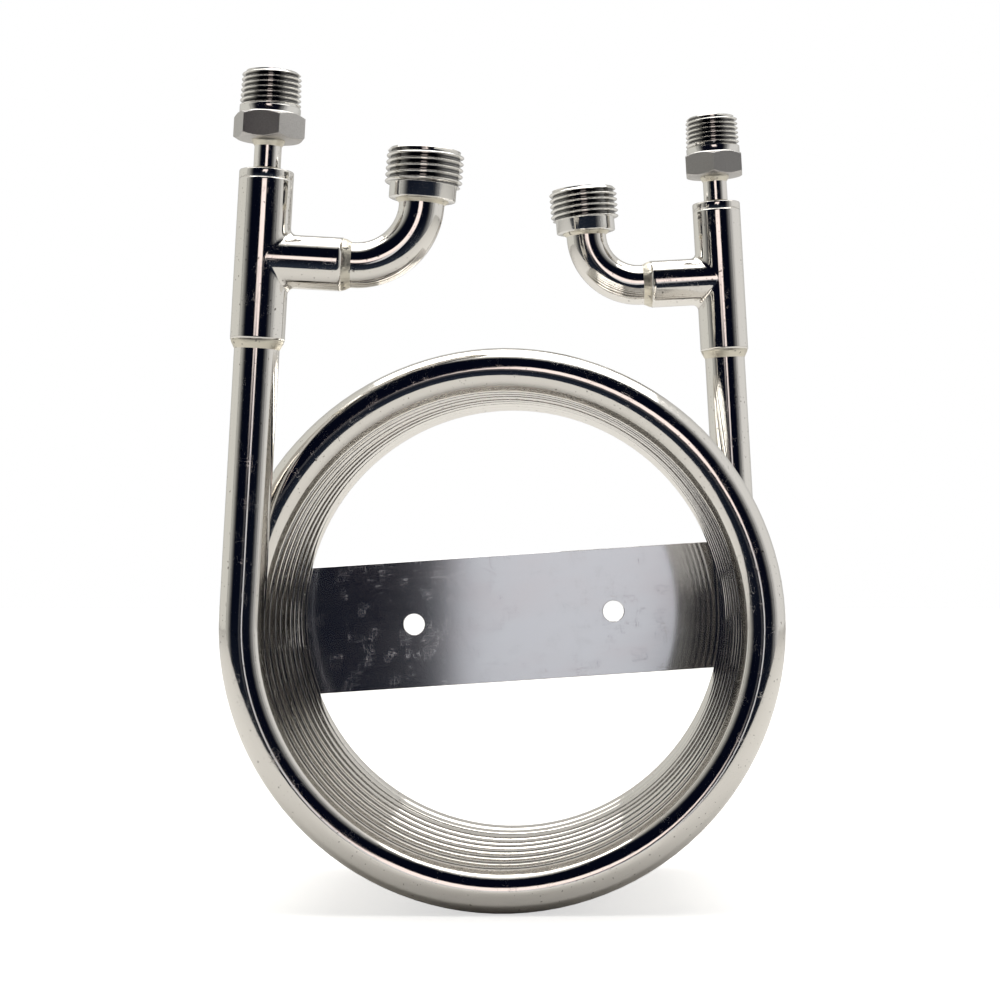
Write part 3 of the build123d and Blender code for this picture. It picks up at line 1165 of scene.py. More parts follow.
# ------------------------------------------------------------------------------ one end's pieces
@dataclass
class Tee:
    """Drawn tee with a soft crotch between its run and its branch."""

    plan: EndPlan
    finishes: Finishes
    fillet: float = 2.2 * MM
    wall: float = 1.3075 * MM
    columns: int = 192
    run_rows: int = 22
    fillet_rows: int = 8
    branch_rows: int = 14

    def crotch(self, turn: float, part: float) -> Vector:
        """Point on the rounded crotch.

        Args:
            turn: Angle round the branch, 0 up the run.
            part: 0 where it meets the branch, 1 where it meets the run.

        Returns:
            The point, in the tee's own axes: X up the run, Y along the branch.
        """
        reach = self.plan.branch_r + self.fillet
        spread = self.plan.tee_r + self.fillet
        ball_x, ball_z = reach * math.cos(turn), reach * math.sin(turn)
        ball_y = math.sqrt(spread ** 2 - ball_z ** 2)
        to_branch = Vector((-math.cos(turn), 0, -math.sin(turn)))
        to_run = Vector((0, -ball_y, -ball_z)).normalized()
        whole = to_branch.angle(to_run)
        toward = (
            to_branch * math.sin((1 - part) * whole) + to_run * math.sin(part * whole)
        ) / math.sin(whole)
        return Vector((ball_x, ball_y, ball_z)) + toward * self.fillet

    def on_run(self, turn: float, part: float) -> Vector:
        """Point on the run, from the crotch at part 0 to the far edge at part 1.

        Args:
            turn: Angle round the branch, in the range -pi to pi.
            part: Share of the way out.

        Returns:
            The point, in the tee's own axes.
        """
        start = self.crotch(turn, 1.0)
        start_angle = math.atan2(start.z, start.y)
        quarter = math.pi / 4
        if abs(turn) <= quarter:
            far_x, far_angle = self.plan.tee_reach, math.pi * turn / quarter
        elif abs(turn) >= 3 * quarter:
            back = math.copysign(math.pi, turn) - turn
            far_x, far_angle = -self.plan.tee_reach, math.pi * back / quarter
        else:
            far_x = self.plan.tee_reach * (2 * quarter - abs(turn)) / quarter
            far_angle = math.copysign(math.pi, turn)
        height = start.x + (far_x - start.x) * part
        angle = start_angle + (far_angle - start_angle) * part
        tee_r = self.plan.tee_r
        return Vector((height, tee_r * math.cos(angle), tee_r * math.sin(angle)))

    def build(self) -> None:
        """Make the tee as rings that start at the branch's mouth and end at the run's ends."""
        plan = self.plan
        bm = bmesh.new()
        facing_branch = Matrix.Rotation(math.pi / 2, 4, "X")
        made = bmesh.ops.create_circle(
            bm, cap_ends=False, radius=plan.branch_r, segments=self.columns,
            matrix=Matrix.Translation((0, plan.tee_reach, 0)) @ facing_branch,
        )
        edges = {edge for vert in made["verts"] for edge in vert.link_edges}
        last = list(made["verts"]) + list(edges)
        rings: list[Callable[[float], Vector]] = []
        for row in range(1, self.branch_rows + 1):
            rings.append(lambda turn, part=row / self.branch_rows: Vector((
                plan.branch_r * math.cos(turn),
                plan.tee_reach + (self.crotch(turn, 0.0).y - plan.tee_reach) * part,
                plan.branch_r * math.sin(turn),
            )))
        for row in range(1, self.fillet_rows + 1):
            rings.append(lambda turn, part=row / self.fillet_rows: self.crotch(turn, part))
        for row in range(1, self.run_rows + 1):
            rings.append(lambda turn, part=row / self.run_rows: self.on_run(turn, part))
        turns = {vert: math.atan2(vert.co.z, vert.co.x) for vert in made["verts"]}
        for place in rings:
            grown = bmesh.ops.extrude_edge_only(bm, edges=only(BMEdge, last))["geom"]
            above = {}
            for vert in only(BMVert, grown):
                parent = next(edge.other_vert(vert) for edge in vert.link_edges
                              if edge.other_vert(vert) in turns)
                above[vert] = turns[parent]
            for vert, turn in above.items():
                step = round(turn / (math.tau / self.columns)) * math.tau / self.columns
                vert.co = place(step)
            turns = above
            last = only((BMVert, BMEdge), grown)
        bmesh.ops.remove_doubles(bm, verts=bm.verts, dist=1e-6)
        ends = (Vector((plan.tee_reach, 0, 0)), Vector((-plan.tee_reach, 0, 0)))

        def heat(spot: Vector) -> float:
            """Nearness to a weld at one of the three ends."""
            nearest = min(abs(spot.x - ends[0].x), abs(spot.x - ends[1].x),
                          abs(spot.y - plan.tee_reach) if spot.y > plan.tee_r else 1.0)
            return fade(nearest, 2.6 * MM)

        write_layers(bm, own_axes, heat)
        bm.transform(axes_matrix(plan.tee_centre, plan.axis, plan.branch))
        piece = into_object(bm, plan.piece("drawn_tee"), self.finishes.tube)
        tube_wall(piece, self.wall)
        hand_in(piece, Slot.TUBE, plan.piece("tee"))


@dataclass
class Elbow:
    """Bent water tube between the tee's branch and the hose fitting."""

    plan: EndPlan
    finishes: Finishes

    def build(self) -> None:
        """Sweep the elbow and dress it."""
        plan = self.plan
        bm = bmesh.new()
        socket = plan.winding.socket
        start = plan.tee_centre + plan.branch * (plan.tee_reach - socket)
        place = axes_matrix(start, plan.branch, plan.axis)
        last = ring_start(bm, place, plan.tube_r, 48)
        last = push(bm, last, plan.branch * (socket + plan.lead_in), 6)
        last = bend(bm, last, plan.bend_centre, plan.branch.cross(plan.axis), plan.elbow_angle, 40)
        push(bm, last, plan.hose_axis * (plan.lead_out + plan.hose_socket), 3)
        sideways = plan.axis.cross(plan.branch)

        def straightened(spot: Vector) -> Vector:
            """Coordinates as if the elbow were pulled straight."""
            rel = spot - plan.bend_centre
            angle = math.atan2(rel.dot(plan.branch), -rel.dot(plan.axis))
            if angle <= 0:
                return Vector((rel.dot(plan.branch), -rel.dot(plan.axis) - plan.elbow_radius,
                               rel.dot(sideways)))
            if angle >= plan.elbow_angle:
                out = (plan.bend_end - plan.bend_centre).normalized()
                bent = plan.elbow_radius * plan.elbow_angle
                along = bent + (spot - plan.bend_end).dot(plan.hose_axis)
                return Vector((along, rel.dot(out) - plan.elbow_radius, rel.dot(sideways)))
            out = plan.branch * math.sin(angle) - plan.axis * math.cos(angle)
            return Vector((plan.elbow_radius * angle, rel.dot(out) - plan.elbow_radius,
                           rel.dot(sideways)))

        def heat(spot: Vector) -> float:
            """Nearness to the weld at either end."""
            low = (spot - plan.tee_centre).dot(plan.branch) - plan.tee_reach
            high = (plan.hose_base - spot).dot(plan.hose_axis)
            return max(fade(low, 6.5 * MM), fade(high, 3.5 * MM))

        write_layers(bm, straightened, heat)
        piece = into_object(bm, plan.piece("bent_elbow"), self.finishes.tube)
        tube_wall(piece, plan.winding.tube_wall)
        hand_in(piece, Slot.TUBE, plan.piece("water_elbow"))


@dataclass(frozen=True)
class Thread:
    """A real helical thread on a barrel, in the fitting's own axes with X up."""

    crest: float
    pitch: float
    start: float
    length: float
    depth: float
    taper: float = 0.0
    run_out: float = 0.0
    tip: float = 1.0 * MM
    tip_rise: float = 1.2 * MM
    steps: int = 96

    def build(self, bm: BMesh) -> tuple[list, list]:
        """Wind the thread and trim it flush.

        Args:
            bm: Empty mesh.

        Returns:
            Edges of the lower and of the upper open loop.
        """
        periods = round(self.length / self.pitch) + 3
        first = self.start - 1.5 * self.pitch
        points = []
        shape = ((0.05, 0.0), (0.35, 0.86), (0.46, 1.0), (0.54, 1.0), (0.65, 0.86), (0.95, 0.0))
        for index in range(periods):
            low = first + index * self.pitch
            points += [(low + at * self.pitch, self.crest - self.depth * (1 - share))
                       for at, share in shape]
        chain = outline_chain(bm, points, closed=False)
        climb = (self.pitch / self.steps, 0, 0)
        bmesh.ops.spin(
            bm, geom=chain, axis=(1, 0, 0), dvec=climb, angle=math.tau, steps=self.steps
        )
        bmesh.ops.remove_doubles(bm, verts=bm.verts, dist=2e-6)
        for height, clear_low in ((self.start, True), (self.start + self.length, False)):
            bmesh.ops.bisect_plane(
                bm, geom=bm.verts[:] + bm.edges[:] + bm.faces[:], dist=1e-7,
                plane_co=(height, 0, 0), plane_no=(1, 0, 0),
                clear_inner=clear_low, clear_outer=not clear_low,
            )
        bmesh.ops.remove_doubles(bm, verts=bm.verts, dist=4e-6)
        top = self.start + self.length
        for vert in bm.verts:
            rise = vert.co.x - self.start
            radius = radius_of(vert.co) - self.taper * rise
            if self.run_out > 0 and rise < self.run_out:
                radius = max(radius, self.crest - self.depth * rise / self.run_out)
            cone = self.crest - self.taper * rise - self.tip
            radius = min(radius, cone + (top - vert.co.x) * self.tip / self.tip_rise)
            set_radius(vert, radius)
        open_edges = [edge for edge in bm.edges if edge.is_boundary]
        middle = self.start + self.length / 2
        lower = [edge for edge in open_edges if edge.verts[0].co.x < middle]
        upper = [edge for edge in open_edges if edge.verts[0].co.x >= middle]
        return lower, upper

    def groove(self, spot: Vector) -> float:
        """How deep a point of the threaded barrel lies in its groove, 0 to 1."""
        rise = spot.x - self.start
        if not 0.0 < rise < self.length - self.tip_rise:
            return 0.0
        below = self.crest - self.taper * rise - radius_of(spot)
        return max(0.0, min(1.0, below / self.depth)) if below < 1.1 * self.depth else 0.0


def grow_loop(
    bm: BMesh, edges: list, stations: list[tuple[float, float]]
) -> list:
    """Extrude an open loop through round stations.

    Args:
        bm: Mesh in its own axes.
        edges: Edges of the open loop.
        stations: Pairs of height and radius for each new ring.

    Returns:
        Edges of the last ring.
    """
    for height, radius in stations:
        grown = bmesh.ops.extrude_edge_only(bm, edges=edges)["geom"]
        for vert in only(BMVert, grown):
            vert.co.x = height
            set_radius(vert, radius)
        edges = only(BMEdge, grown)
    return edges


@dataclass
class HoseFitting:
    """Collar and coarse hose thread at the end of an elbow."""

    plan: EndPlan
    finishes: Finishes
    crest: float = 26.99 / 2 * MM
    pitch: float = 2.209 * MM
    turns: int = 5
    collar: float = 5.2 * MM
    collar_r: float = 11.7 * MM
    bore_r: float = 8.75 * MM
    rim: float = 1.2 * MM

    def build(self) -> None:
        """Wind the thread, close the fitting and dress it."""
        plan = self.plan
        bm = bmesh.new()
        length = self.turns * self.pitch + self.rim
        top = self.collar + length
        thread = Thread(
            crest=self.crest, pitch=self.pitch, start=self.collar, length=length,
            depth=0.65 * self.pitch, tip=1.25 * MM, tip_rise=1.3 * MM,
        )
        lower, upper = thread.build(bm)
        tube_bore = plan.tube_r - plan.winding.tube_wall
        seat = plan.tube_r + 0.04 * MM
        low_end = grow_loop(bm, lower, [
            (self.collar, self.collar_r + 0.05 * MM),
            (self.collar - 0.15 * MM, self.collar_r),
            (0.5 * MM, self.collar_r), (0.15 * MM, self.collar_r - 0.15 * MM),
            (0.0, self.collar_r - 0.5 * MM), (0.0, seat),
            (plan.hose_socket, seat), (plan.hose_socket, tube_bore),
        ])
        high_end = grow_loop(bm, upper, [
            (top, self.bore_r + 0.45 * MM), (top - 0.12 * MM, self.bore_r + 0.15 * MM),
            (top - 0.5 * MM, self.bore_r), (self.collar, self.bore_r), (self.collar, tube_bore),
        ])
        bmesh.ops.bridge_loops(bm, edges=low_end + high_end)
        write_layers(
            bm, own_axes, lambda spot: fade(spot.x, 1.2 * MM), thread.groove
        )
        bm.transform(axes_matrix(plan.hose_base, plan.hose_axis, plan.axis.cross(plan.branch)))
        piece = into_object(bm, plan.piece("threaded_hose_end"), self.finishes.thread)
        hand_in(piece, Slot.FITTING, plan.piece("hose_fitting"))


@dataclass
class WortFitting:
    """Hexagon and tapered pipe thread at the top of the inner tube."""

    plan: EndPlan
    finishes: Finishes
    hex_turn: dict = field(default_factory=lambda: {
        End.FRONT: math.radians(20.3), End.REAR: math.radians(-5.9)
    })
    flat_r: float = 22.225 / 2 * MM
    height: float = 8.9 * MM
    chamfer: float = 1.1 * MM
    crest: float = 21.336 / 2 * MM
    pitch: float = 1.814 * MM
    turns: int = 7
    band: float = 2.3 * MM
    bore_r: float = 6.5 * MM
    side_cuts: int = 15

    def build_hexagon(self, place: Matrix) -> None:
        """Make the hexagon with coned corners.

        Args:
            place: Matrix of the fitting's own axes.
        """
        plan = self.plan
        bm = bmesh.new()
        corner = self.flat_r / math.cos(math.pi / 6)
        start = ring_start(bm, Matrix.Identity(4), corner, 6)
        first = only(BMVert, start)
        # One corner has to point along the local Y axis.
        turn = math.atan2(first[0].co.z, first[0].co.y)
        bmesh.ops.rotate(bm, verts=first, cent=(0, 0, 0), matrix=Matrix.Rotation(-turn, 3, "X"))
        bmesh.ops.subdivide_edges(bm, edges=bm.edges[:], cuts=self.side_cuts)
        levels = [self.chamfer * step / 10 for step in range(11)]
        levels += [self.height - level for level in reversed(levels)]
        last = bm.verts[:] + bm.edges[:]
        for low, high in zip(levels, levels[1:]):
            last = push(bm, last, Vector((high - low, 0, 0)))
        cone = self.flat_r - 0.15 * MM
        for vert in bm.verts:
            from_end = min(vert.co.x, self.height - vert.co.x)
            limit = cone + from_end * (corner - cone) / self.chamfer
            if radius_of(vert.co) > limit:
                set_radius(vert, limit)
        rims = [edge for edge in bm.edges if edge.is_boundary]
        lower = [edge for edge in rims if edge.verts[0].co.x < self.height / 2]
        upper = [edge for edge in rims if edge.verts[0].co.x > self.height / 2]
        inner = plan.inner_r + 0.04 * MM
        grow_loop(bm, lower, [(0.0, inner)])
        grow_loop(bm, upper, [
            (self.height, self.crest - 0.3 * MM), (self.height, inner), (0.0, inner),
        ])
        bmesh.ops.remove_doubles(bm, verts=bm.verts, dist=2e-6)
        write_layers(bm, own_axes, lambda spot: fade(spot.x + 0.5 * MM, 1.5 * MM))
        bm.transform(place)
        piece = into_object(bm, plan.piece("sandy_hexagon"), self.finishes.hexagon, 24.0)
        hand_in(piece, Slot.FITTING, plan.piece("wort_fitting"))

    def build_barrel(self, place: Matrix) -> None:
        """Make the threaded barrel above the hexagon.

        Args:
            place: Matrix of the fitting's own axes.
        """
        plan = self.plan
        bm = bmesh.new()
        start = self.height + self.band
        length = self.turns * self.pitch
        top = start + length
        thread = Thread(
            crest=self.crest, pitch=self.pitch, start=start, length=length, depth=0.8 * self.pitch,
            taper=1 / 32, run_out=1.6 * MM, tip=1.3 * MM, tip_rise=1.0 * MM,
        )
        lower, upper = thread.build(bm)
        sunk = self.height - 0.4 * MM
        low_end = grow_loop(bm, lower, [
            (start - 0.1 * MM, self.crest), (self.height + 0.35 * MM, self.crest - 0.05 * MM),
            (self.height + 0.1 * MM, self.crest + 0.12 * MM), (self.height, self.crest + 0.2 * MM),
            (sunk, self.crest + 0.2 * MM), (sunk, self.bore_r),
        ])
        high_end = grow_loop(bm, upper, [
            (top, self.bore_r + 0.5 * MM), (top - 0.5 * MM, self.bore_r),
            (sunk + 1.0 * MM, self.bore_r),
        ])
        bmesh.ops.bridge_loops(bm, edges=low_end + high_end)
        write_layers(bm, own_axes, lambda spot: 0.0, thread.groove)
        bm.transform(place)
        piece = into_object(bm, plan.piece("threaded_barrel"), self.finishes.thread)
        hand_in(piece, Slot.FITTING, plan.piece("wort_fitting"))

    def build(self) -> None:
        """Make both pieces of the fitting."""
        plan = self.plan
        depth = plan.axis.cross(plan.branch)
        angle = self.hex_turn[plan.end]
        corner = depth * math.cos(angle) + plan.axis.cross(depth) * math.sin(angle)
        place = axes_matrix(plan.at_height(plan.hex_height_on_leg), plan.axis, corner)
        self.build_hexagon(place)
        self.build_barrel(place)


@dataclass
class EndCap:
    """Disc that closes the tee round the inner tube."""

    plan: EndPlan
    finishes: Finishes

    def build(self) -> None:
        """Turn the disc and dress it."""
        plan = self.plan
        bm = bmesh.new()
        rim, top, hole = plan.tee_r, plan.cap, plan.inner_r + 0.02 * MM
        turned(bm, [
            (0.0, hole), (0.0, rim - 0.12 * MM), (0.04 * MM, rim - 0.05 * MM), (0.12 * MM, rim),
            (top - 0.75 * MM, rim), (top - 0.42 * MM, rim - 0.07 * MM),
            (top - 0.16 * MM, rim - 0.26 * MM), (top - 0.03 * MM, rim - 0.6 * MM),
            (top, rim - 1.0 * MM), (top, hole),
        ], 96)

        def heat(spot: Vector) -> float:
            """Nearness to the weld at the rim or at the inner tube."""
            return max(fade(spot.x, 1.0 * MM), fade(radius_of(spot) - hole, 2 * MM))

        write_layers(bm, own_axes, heat)
        tee_top = plan.at_height(plan.winding.leg[plan.end] + 2 * plan.tee_reach)
        bm.transform(axes_matrix(tee_top, plan.axis, plan.branch))
        piece = into_object(bm, plan.piece("closing_cap"), self.finishes.tube)
        hand_in(piece, Slot.TUBE, plan.piece("end_cap"))


@dataclass
class WeldRing:
    """A rippled weld bead round a tube, in its own axes with X away from the thicker part."""

    name: str
    node: str
    tube_r: float
    height: float
    rise: float
    ripples: int
    roughness: float = 0.06 * MM
    burn: Vector | None = None

    def build(self, place: Matrix, finish: Material, seed: float) -> None:
        """Turn the bead, ripple it and dress it.

        Args:
            place: Matrix of the bead's own axes.
            finish: Weld material.
            seed: Shifts the ripples so that no two beads match.
        """
        bm = bmesh.new()
        skin = self.tube_r - 0.05 * MM
        turned(bm, [
            (-0.05 * MM, skin), (-0.05 * MM, self.tube_r + self.height * 0.98),
            (0.10 * self.rise, self.tube_r + self.height * 0.99),
            (0.28 * self.rise, self.tube_r + self.height * 0.86),
            (0.46 * self.rise, self.tube_r + self.height * 0.66),
            (0.64 * self.rise, self.tube_r + self.height * 0.42),
            (0.80 * self.rise, self.tube_r + self.height * 0.22),
            (0.93 * self.rise, self.tube_r + self.height * 0.07),
            (self.rise, skin),
        ], 144)
        for vert in bm.verts:
            if radius_of(vert.co) <= skin + 1e-6:
                continue
            angle = math.atan2(vert.co.z, vert.co.y)
            share = min(1.0, max(0.0, vert.co.x / self.rise))
            wave = abs(math.sin(self.ripples / 2 * (angle + 0.12 * math.sin(3 * share + seed))))
            rough = noise.noise(vert.co * 900 + Vector((seed, 0, 0)))
            grow = (wave - 0.6) * self.roughness + rough * self.roughness
            set_radius(vert, radius_of(vert.co) + grow * math.sin(math.pi * min(1.0, share + 0.15)))
        burn = self.burn

        def oxide(spot: Vector) -> float:
            """How burnt a spot on the bead is."""
            return 0.0 if burn is None else max(0.0, spot.normalized().dot(burn)) ** 2

        write_layers(bm, own_axes, oxide)
        bm.transform(place)
        piece = into_object(bm, self.name, finish, 60.0)
        hand_in(piece, Slot.WELD, self.node)


@dataclass
class EndWelds:
    """The five beads of one end."""

    plan: EndPlan
    finishes: Finishes

    def build(self) -> None:
        """Make every bead."""
        plan, weld = self.plan, self.finishes.weld
        leg_end = plan.at_height(plan.winding.leg[plan.end])
        branch_end = plan.tee_centre + plan.branch * plan.tee_reach
        cap_top = plan.at_height(plan.winding.leg[plan.end] + 2 * plan.tee_reach + plan.cap)
        hex_base = plan.at_height(plan.hex_height_on_leg)
        side = plan.axis.cross(plan.branch)
        step = 0.25 * MM
        burnt = Vector((0.0, 0.55, 0.83)) if plan.end is End.FRONT else None
        beads = (
            (WeldRing(plan.piece("leg_bead"), plan.piece("leg_weld"), plan.tube_r,
                      plan.tee_r - plan.tube_r - step, 3.3 * MM, 46),
             axes_matrix(leg_end, -plan.axis, plan.branch)),
            (WeldRing(plan.piece("branch_bead"), plan.piece("branch_weld"), plan.tube_r,
                      plan.branch_r - plan.tube_r - step, 3.3 * MM, 40, 0.16 * MM, burnt),
             axes_matrix(branch_end, plan.branch, plan.axis)),
            (WeldRing(plan.piece("cap_bead"), plan.piece("cap_weld"), plan.inner_r, 0.9 * MM,
                      0.9 * MM, 30, 0.03 * MM),
             axes_matrix(cap_top, plan.axis, plan.branch)),
            (WeldRing(plan.piece("neck_bead"), plan.piece("neck_weld"), plan.inner_r, 1.1 * MM,
                      2.2 * MM, 30, 0.03 * MM),
             axes_matrix(hex_base, -plan.axis, plan.branch)),
            (WeldRing(plan.piece("hose_bead"), plan.piece("hose_weld"), plan.tube_r, 1.4 * MM,
                      1.4 * MM, 44, 0.04 * MM),
             axes_matrix(plan.hose_base, -plan.hose_axis, side)),
        )
        for index, (bead, place) in enumerate(beads):
            bead.build(place, weld, 1.7 * index + (0.0 if plan.end is End.FRONT else 5.3))


# ------------------------------------------------------------------------------ the strip
@dataclass
class Strip:
    """Brushed bolt-on strip across the rear turn, with its end welds."""

    winding: Winding
    finishes: Finishes
    height: float = 50.8 * MM
    half: float = 91.5 * MM
    corner: float = 2.0 * MM
    hole_r: float = 4.25 * MM
    spacing: float = 80.5 * MM
    roll: float = math.radians(3.8)

    def build(self, frame: dict) -> None:
        """Cut the strip from a flat outline, and dress the two bracket welds.
        """
        bm = bmesh.new()
        bmesh.ops.create_grid(bm, x_segments=1, y_segments=1, size=1.0)
        bmesh.ops.scale(bm, verts=bm.verts, vec=(self.half, self.height / 2, 1))
        bmesh.ops.bevel(
            bm, geom=bm.verts[:], offset=self.corner, offset_type="OFFSET", affect="VERTICES",
            segments=6, profile=0.5, material=-1,
        )
        bmesh.ops.delete(bm, geom=bm.faces[:], context="FACES_ONLY")
        for way in (-1, 1):
            bmesh.ops.create_circle(
                bm, cap_ends=False, radius=self.hole_r, segments=64,
                matrix=Matrix.Translation((way * self.spacing / 2, 0, 0)),
            )
        bmesh.ops.triangle_fill(bm, edges=bm.edges[:], use_beauty=True, use_dissolve=False)
        grown = bmesh.ops.extrude_face_region(bm, geom=bm.faces[:])["geom"]
        lift = (0, 0, -self.winding.strip_thickness)
        bmesh.ops.translate(bm, verts=only(BMVert, grown), vec=lift)
        rims = [edge for edge in bm.edges if len(edge.link_faces) == 2
                and edge.calc_face_angle(0.0) > math.radians(60)]
        bmesh.ops.bevel(
            bm, geom=rims, offset=0.22 * MM, offset_type="OFFSET", affect="EDGES", segments=3,
            profile=0.5, material=-1,
        )
        write_layers(bm, own_axes, lambda spot: 0.8 * fade(self.half - abs(spot.x), 7 * MM))
        turn = self.winding.half_turns - 1
        along = self.winding.side(turn) * math.cos(self.roll) + Vector((0, 0, math.sin(self.roll)))
        normal = Vector((-math.sin(self.winding.tilt), math.cos(self.winding.tilt), 0))
        bm.transform(axes_matrix(Vector(), along, normal.cross(along)))
        piece = into_object(bm, "bolt_on_strip", self.finishes.strip, 20.0)
        for polygon in piece.data.polygons:
            polygon.use_smooth = abs(polygon.normal.dot(normal)) < 0.999
        hand_in(piece, Slot.STRIP, "mounting_bracket")
        for way in ("left", "right"):
            bead = frame["nodes"][f"bracket_weld_{way}"]
            bead.data.materials.clear()
            bead.data.materials.append(self.finishes.weld)
            LOG.info("%s is dressed as a weld bead", bead.name)


# ------------------------------------------------------------------------------ the studio
@dataclass
class Studio:
    """Pale table, soft white surroundings with a dark room in front, and the camera."""

    eye: Vector = field(default_factory=lambda: Vector((28.5 * MM, -998.07 * MM, 28.8 * MM)))
    yaw: float = 0.03411
    pitch: float = 0.01870
    lens: float = 89.0
    floor_front: float = -0.50
    floor_half: float = 3.0
    floor_back: float = 4.0
    overexposure: float = 0.62

    def build_camera(self) -> None:
        """Place the camera."""
        data = bpy.data.cameras.new("camera")
        data.sensor_width = 36.0
        data.lens = self.lens
        data.clip_start = 0.05
        camera = bpy.data.objects.new("camera", data)
        look = Vector((
            -math.sin(self.yaw) * math.cos(self.pitch),
            math.cos(self.yaw) * math.cos(self.pitch),
            math.sin(self.pitch),
        ))
        camera.location = self.eye
        camera.rotation_euler = look.to_track_quat("-Z", "Y").to_euler()
        bpy.context.scene.collection.objects.link(camera)
        bpy.context.scene.camera = camera

    def build_floor(self, height: float) -> None:
        """Lay the table top.

        Args:
            height: Level that the coil rests on.
        """
        material = bpy.data.materials.new("pale_table")
        material.use_nodes = True
        graph = Graph(material.node_tree)
        shader = material.node_tree.nodes["Principled BSDF"]
        shader.inputs["Roughness"].default_value = 0.6
        shader.inputs["Specular IOR Level"].default_value = 0.2
        place = graph.node("TexCoord").outputs["Object"]
        cloud = graph.grain(graph.scaled(place, (3, 3, 3)), 1.0, 2.0)
        colour = graph.blend(cloud, (0.755, 0.745, 0.725), (0.795, 0.785, 0.770))
        graph.feed(shader.inputs["Base Color"], colour)
        # The table is over-exposed to the camera, as a product table is, but not in the steel.
        seen = graph.node("LightPath").outputs["Is Camera Ray"]
        shader.inputs["Emission Color"].default_value = (1.0, 1.0, 1.0, 1.0)
        graph.feed(shader.inputs["Emission Strength"], graph.maths("MULTIPLY", seen, self.overexposure))
        bm = bmesh.new()
        bmesh.ops.create_grid(bm, x_segments=8, y_segments=8, size=1.0)
        bmesh.ops.scale(
            bm, verts=bm.verts, vec=(self.floor_half, (self.floor_back - self.floor_front) / 2, 1)
        )
        middle = Vector((0, (self.floor_back + self.floor_front) / 2, height))
        bmesh.ops.translate(bm, verts=bm.verts, vec=middle)
        mesh = bpy.data.meshes.new("table_top")
        bm.to_mesh(mesh)
        bm.free()
        mesh.materials.append(material)
        floor = bpy.data.objects.new("table_top", mesh)
        bpy.context.scene.collection.objects.link(floor)
        floor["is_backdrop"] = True

    def build_world(self) -> None:
        """Surround the chiller with soft white, and with a dark room on the camera's side."""
        world = bpy.data.worlds.new("studio_room")
        bpy.context.scene.world = world
        world.use_nodes = True
        graph = Graph(world.node_tree)
        background = world.node_tree.nodes["Background"]
        split = graph.node("SeparateXYZ")
        graph.feed(split.inputs[0], graph.node("TexCoord").outputs["Generated"])
        flipped = graph.maths("MULTIPLY", split.outputs[1], -1.0)
        bearing = graph.maths("DEGREES", graph.maths("ARCTAN2", split.outputs[0], flipped))
        height = graph.maths("DEGREES", graph.maths("ARCSINE", split.outputs[2]))

        def window(value: object, low: float, high: float, soft: float) -> NodeSocket:
            """1 between two bounds with soft edges, 0 outside."""
            rise = graph.ramp(value, low - soft, low + soft)
            fall = graph.ramp(value, high - soft, high + soft, 1.0, 0.0)
            return graph.maths("MULTIPLY", rise, fall)

        left_right = graph.ramp(bearing, -60.0, 60.0)
        sides = graph.blend(left_right, (0.73, 0.725, 0.68), (0.79, 0.785, 0.77))
        behind = graph.ramp(graph.maths("ABSOLUTE", bearing), 120.0, 170.0)
        walls = graph.blend(behind, sides, (0.55, 0.54, 0.515))
        seams = graph.maths(
            "MAXIMUM",
            window(bearing, -79.0, -77.0, 0.7),
            graph.maths(
                "MAXIMUM", window(bearing, 59.0, 61.0, 0.8), window(bearing, 71.0, 72.0, 0.7)
            ),
        )
        walls = graph.blend(graph.maths("MULTIPLY", seams, 0.75), walls, (0.12, 0.12, 0.13))
        overhead = graph.ramp(height, 48.0, 72.0)
        tent = graph.blend(overhead, walls, (1.25, 1.24, 1.2))
        opening = graph.maths(
            "MULTIPLY", graph.ramp(bearing, -90.0, -47.0), graph.ramp(bearing, 40.0, 88.0, 1.0, 0.0)
        )
        dark = graph.maths("MULTIPLY", opening, graph.ramp(height, 60.0, 76.0, 1.0, 0.0))
        low_glow = graph.ramp(height, -30.0, 5.0, 1.0, 0.0)
        room = graph.blend(low_glow, (0.0016, 0.0026, 0.0085), (0.022, 0.029, 0.045))
        scene = graph.blend(dark, tent, room)
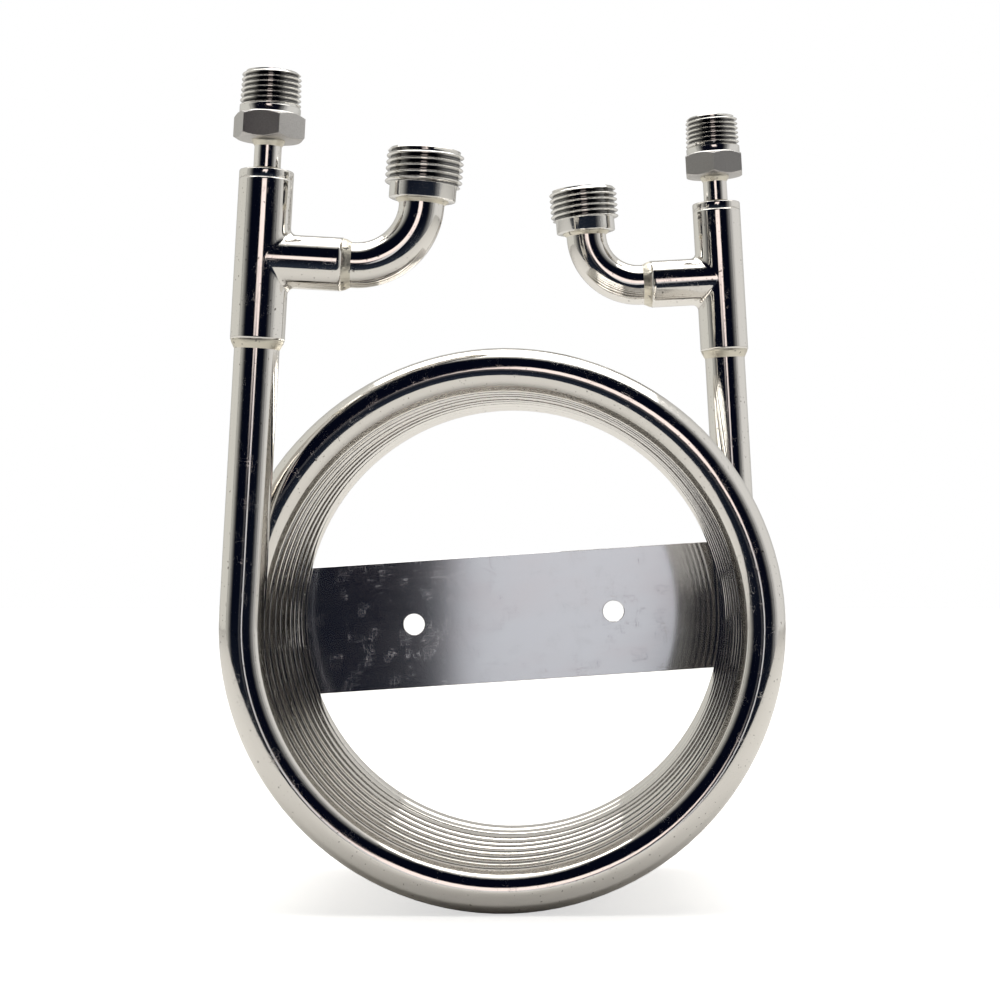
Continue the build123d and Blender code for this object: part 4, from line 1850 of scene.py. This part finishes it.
        # The lamp's right edge leans outwards, its lower left corner fades away, and it is
        # dimmer and cooler low down.
        leaning = graph.maths("MULTIPLY_ADD", height, -0.3, bearing)
        lamp = graph.maths(
            "MULTIPLY", window(leaning, -11.0, 8.1, 0.8), window(height, -5.0, 18.5, 1.5)
        )
        corner = graph.maths(
            "MAXIMUM", graph.ramp(height, 1.5, 7.0, 0.06, 1.0), graph.ramp(bearing, 1.7, 2.3)
        )
        lamp = graph.maths("MULTIPLY", lamp, corner)
        person = graph.maths(
            "MULTIPLY", window(bearing, -3.0, 2.0, 0.3), graph.ramp(height, 3.0, 6.0, 1.0, 0.0)
        )
        lit = graph.maths("MULTIPLY", lamp, graph.maths("SUBTRACT", 1.0, person))
        glow = graph.blend(graph.ramp(height, 0.0, 6.0), (0.74, 0.745, 0.78), (1.32, 1.14, 1.10))
        scene = graph.blend(lit, scene, glow)
        seen = graph.node("LightPath").outputs["Is Camera Ray"]
        graph.feed(background.inputs["Color"], graph.blend(seen, scene, (1.0, 1.0, 1.0)))

    def build_lights(self) -> None:
        """Hang one wide soft light over the table."""
        data = bpy.data.lights.new("overhead_panel", "AREA")
        data.shape = "RECTANGLE"
        data.size = 1.6
        data.size_y = 1.4
        data.energy = 16.0
        data.color = (1.0, 0.99, 0.97)
        lamp = bpy.data.objects.new("overhead_panel", data)
        lamp.location = (0.0, 0.25, 1.3)
        bpy.context.scene.collection.objects.link(lamp)

    def build(self, floor_height: float) -> None:
        """Set up everything that isn't part of the chiller.

        Args:
            floor_height: Level that the coil rests on.
        """
        self.build_camera()
        self.build_floor(floor_height)
        self.build_world()
        self.build_lights()
        bpy.context.scene.view_settings.view_transform = "Standard"


def plain(bounds: object) -> list[list[float]]:
    """Turn a pair of corners into plain lists of numbers."""
    return [[float(value) for value in corner] for corner in bounds]


def main() -> None:
    """Build the chiller's looks round its frame, then the studio."""
    logging.basicConfig(level=logging.INFO, format="%(name)s: %(message)s")
    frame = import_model()
    cad_box = plain(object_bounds())
    winding = Winding()
    finishes = Finishes()
    plans = {end: EndPlan(winding, end) for end in End}
    tubes = LongTubes(winding, finishes)
    tubes.build_water_tube()
    tubes.build_wort_tube(plans)
    for plan in plans.values():
        Tee(plan, finishes).build()
        EndCap(plan, finishes).build()
        Elbow(plan, finishes).build()
        HoseFitting(plan, finishes).build()
        WortFitting(plan, finishes).build()
        EndWelds(plan, finishes).build()
    Strip(winding, finishes).build(frame)
    Studio().build(cad_box[0][2])


if __name__ == "__main__":
    main()
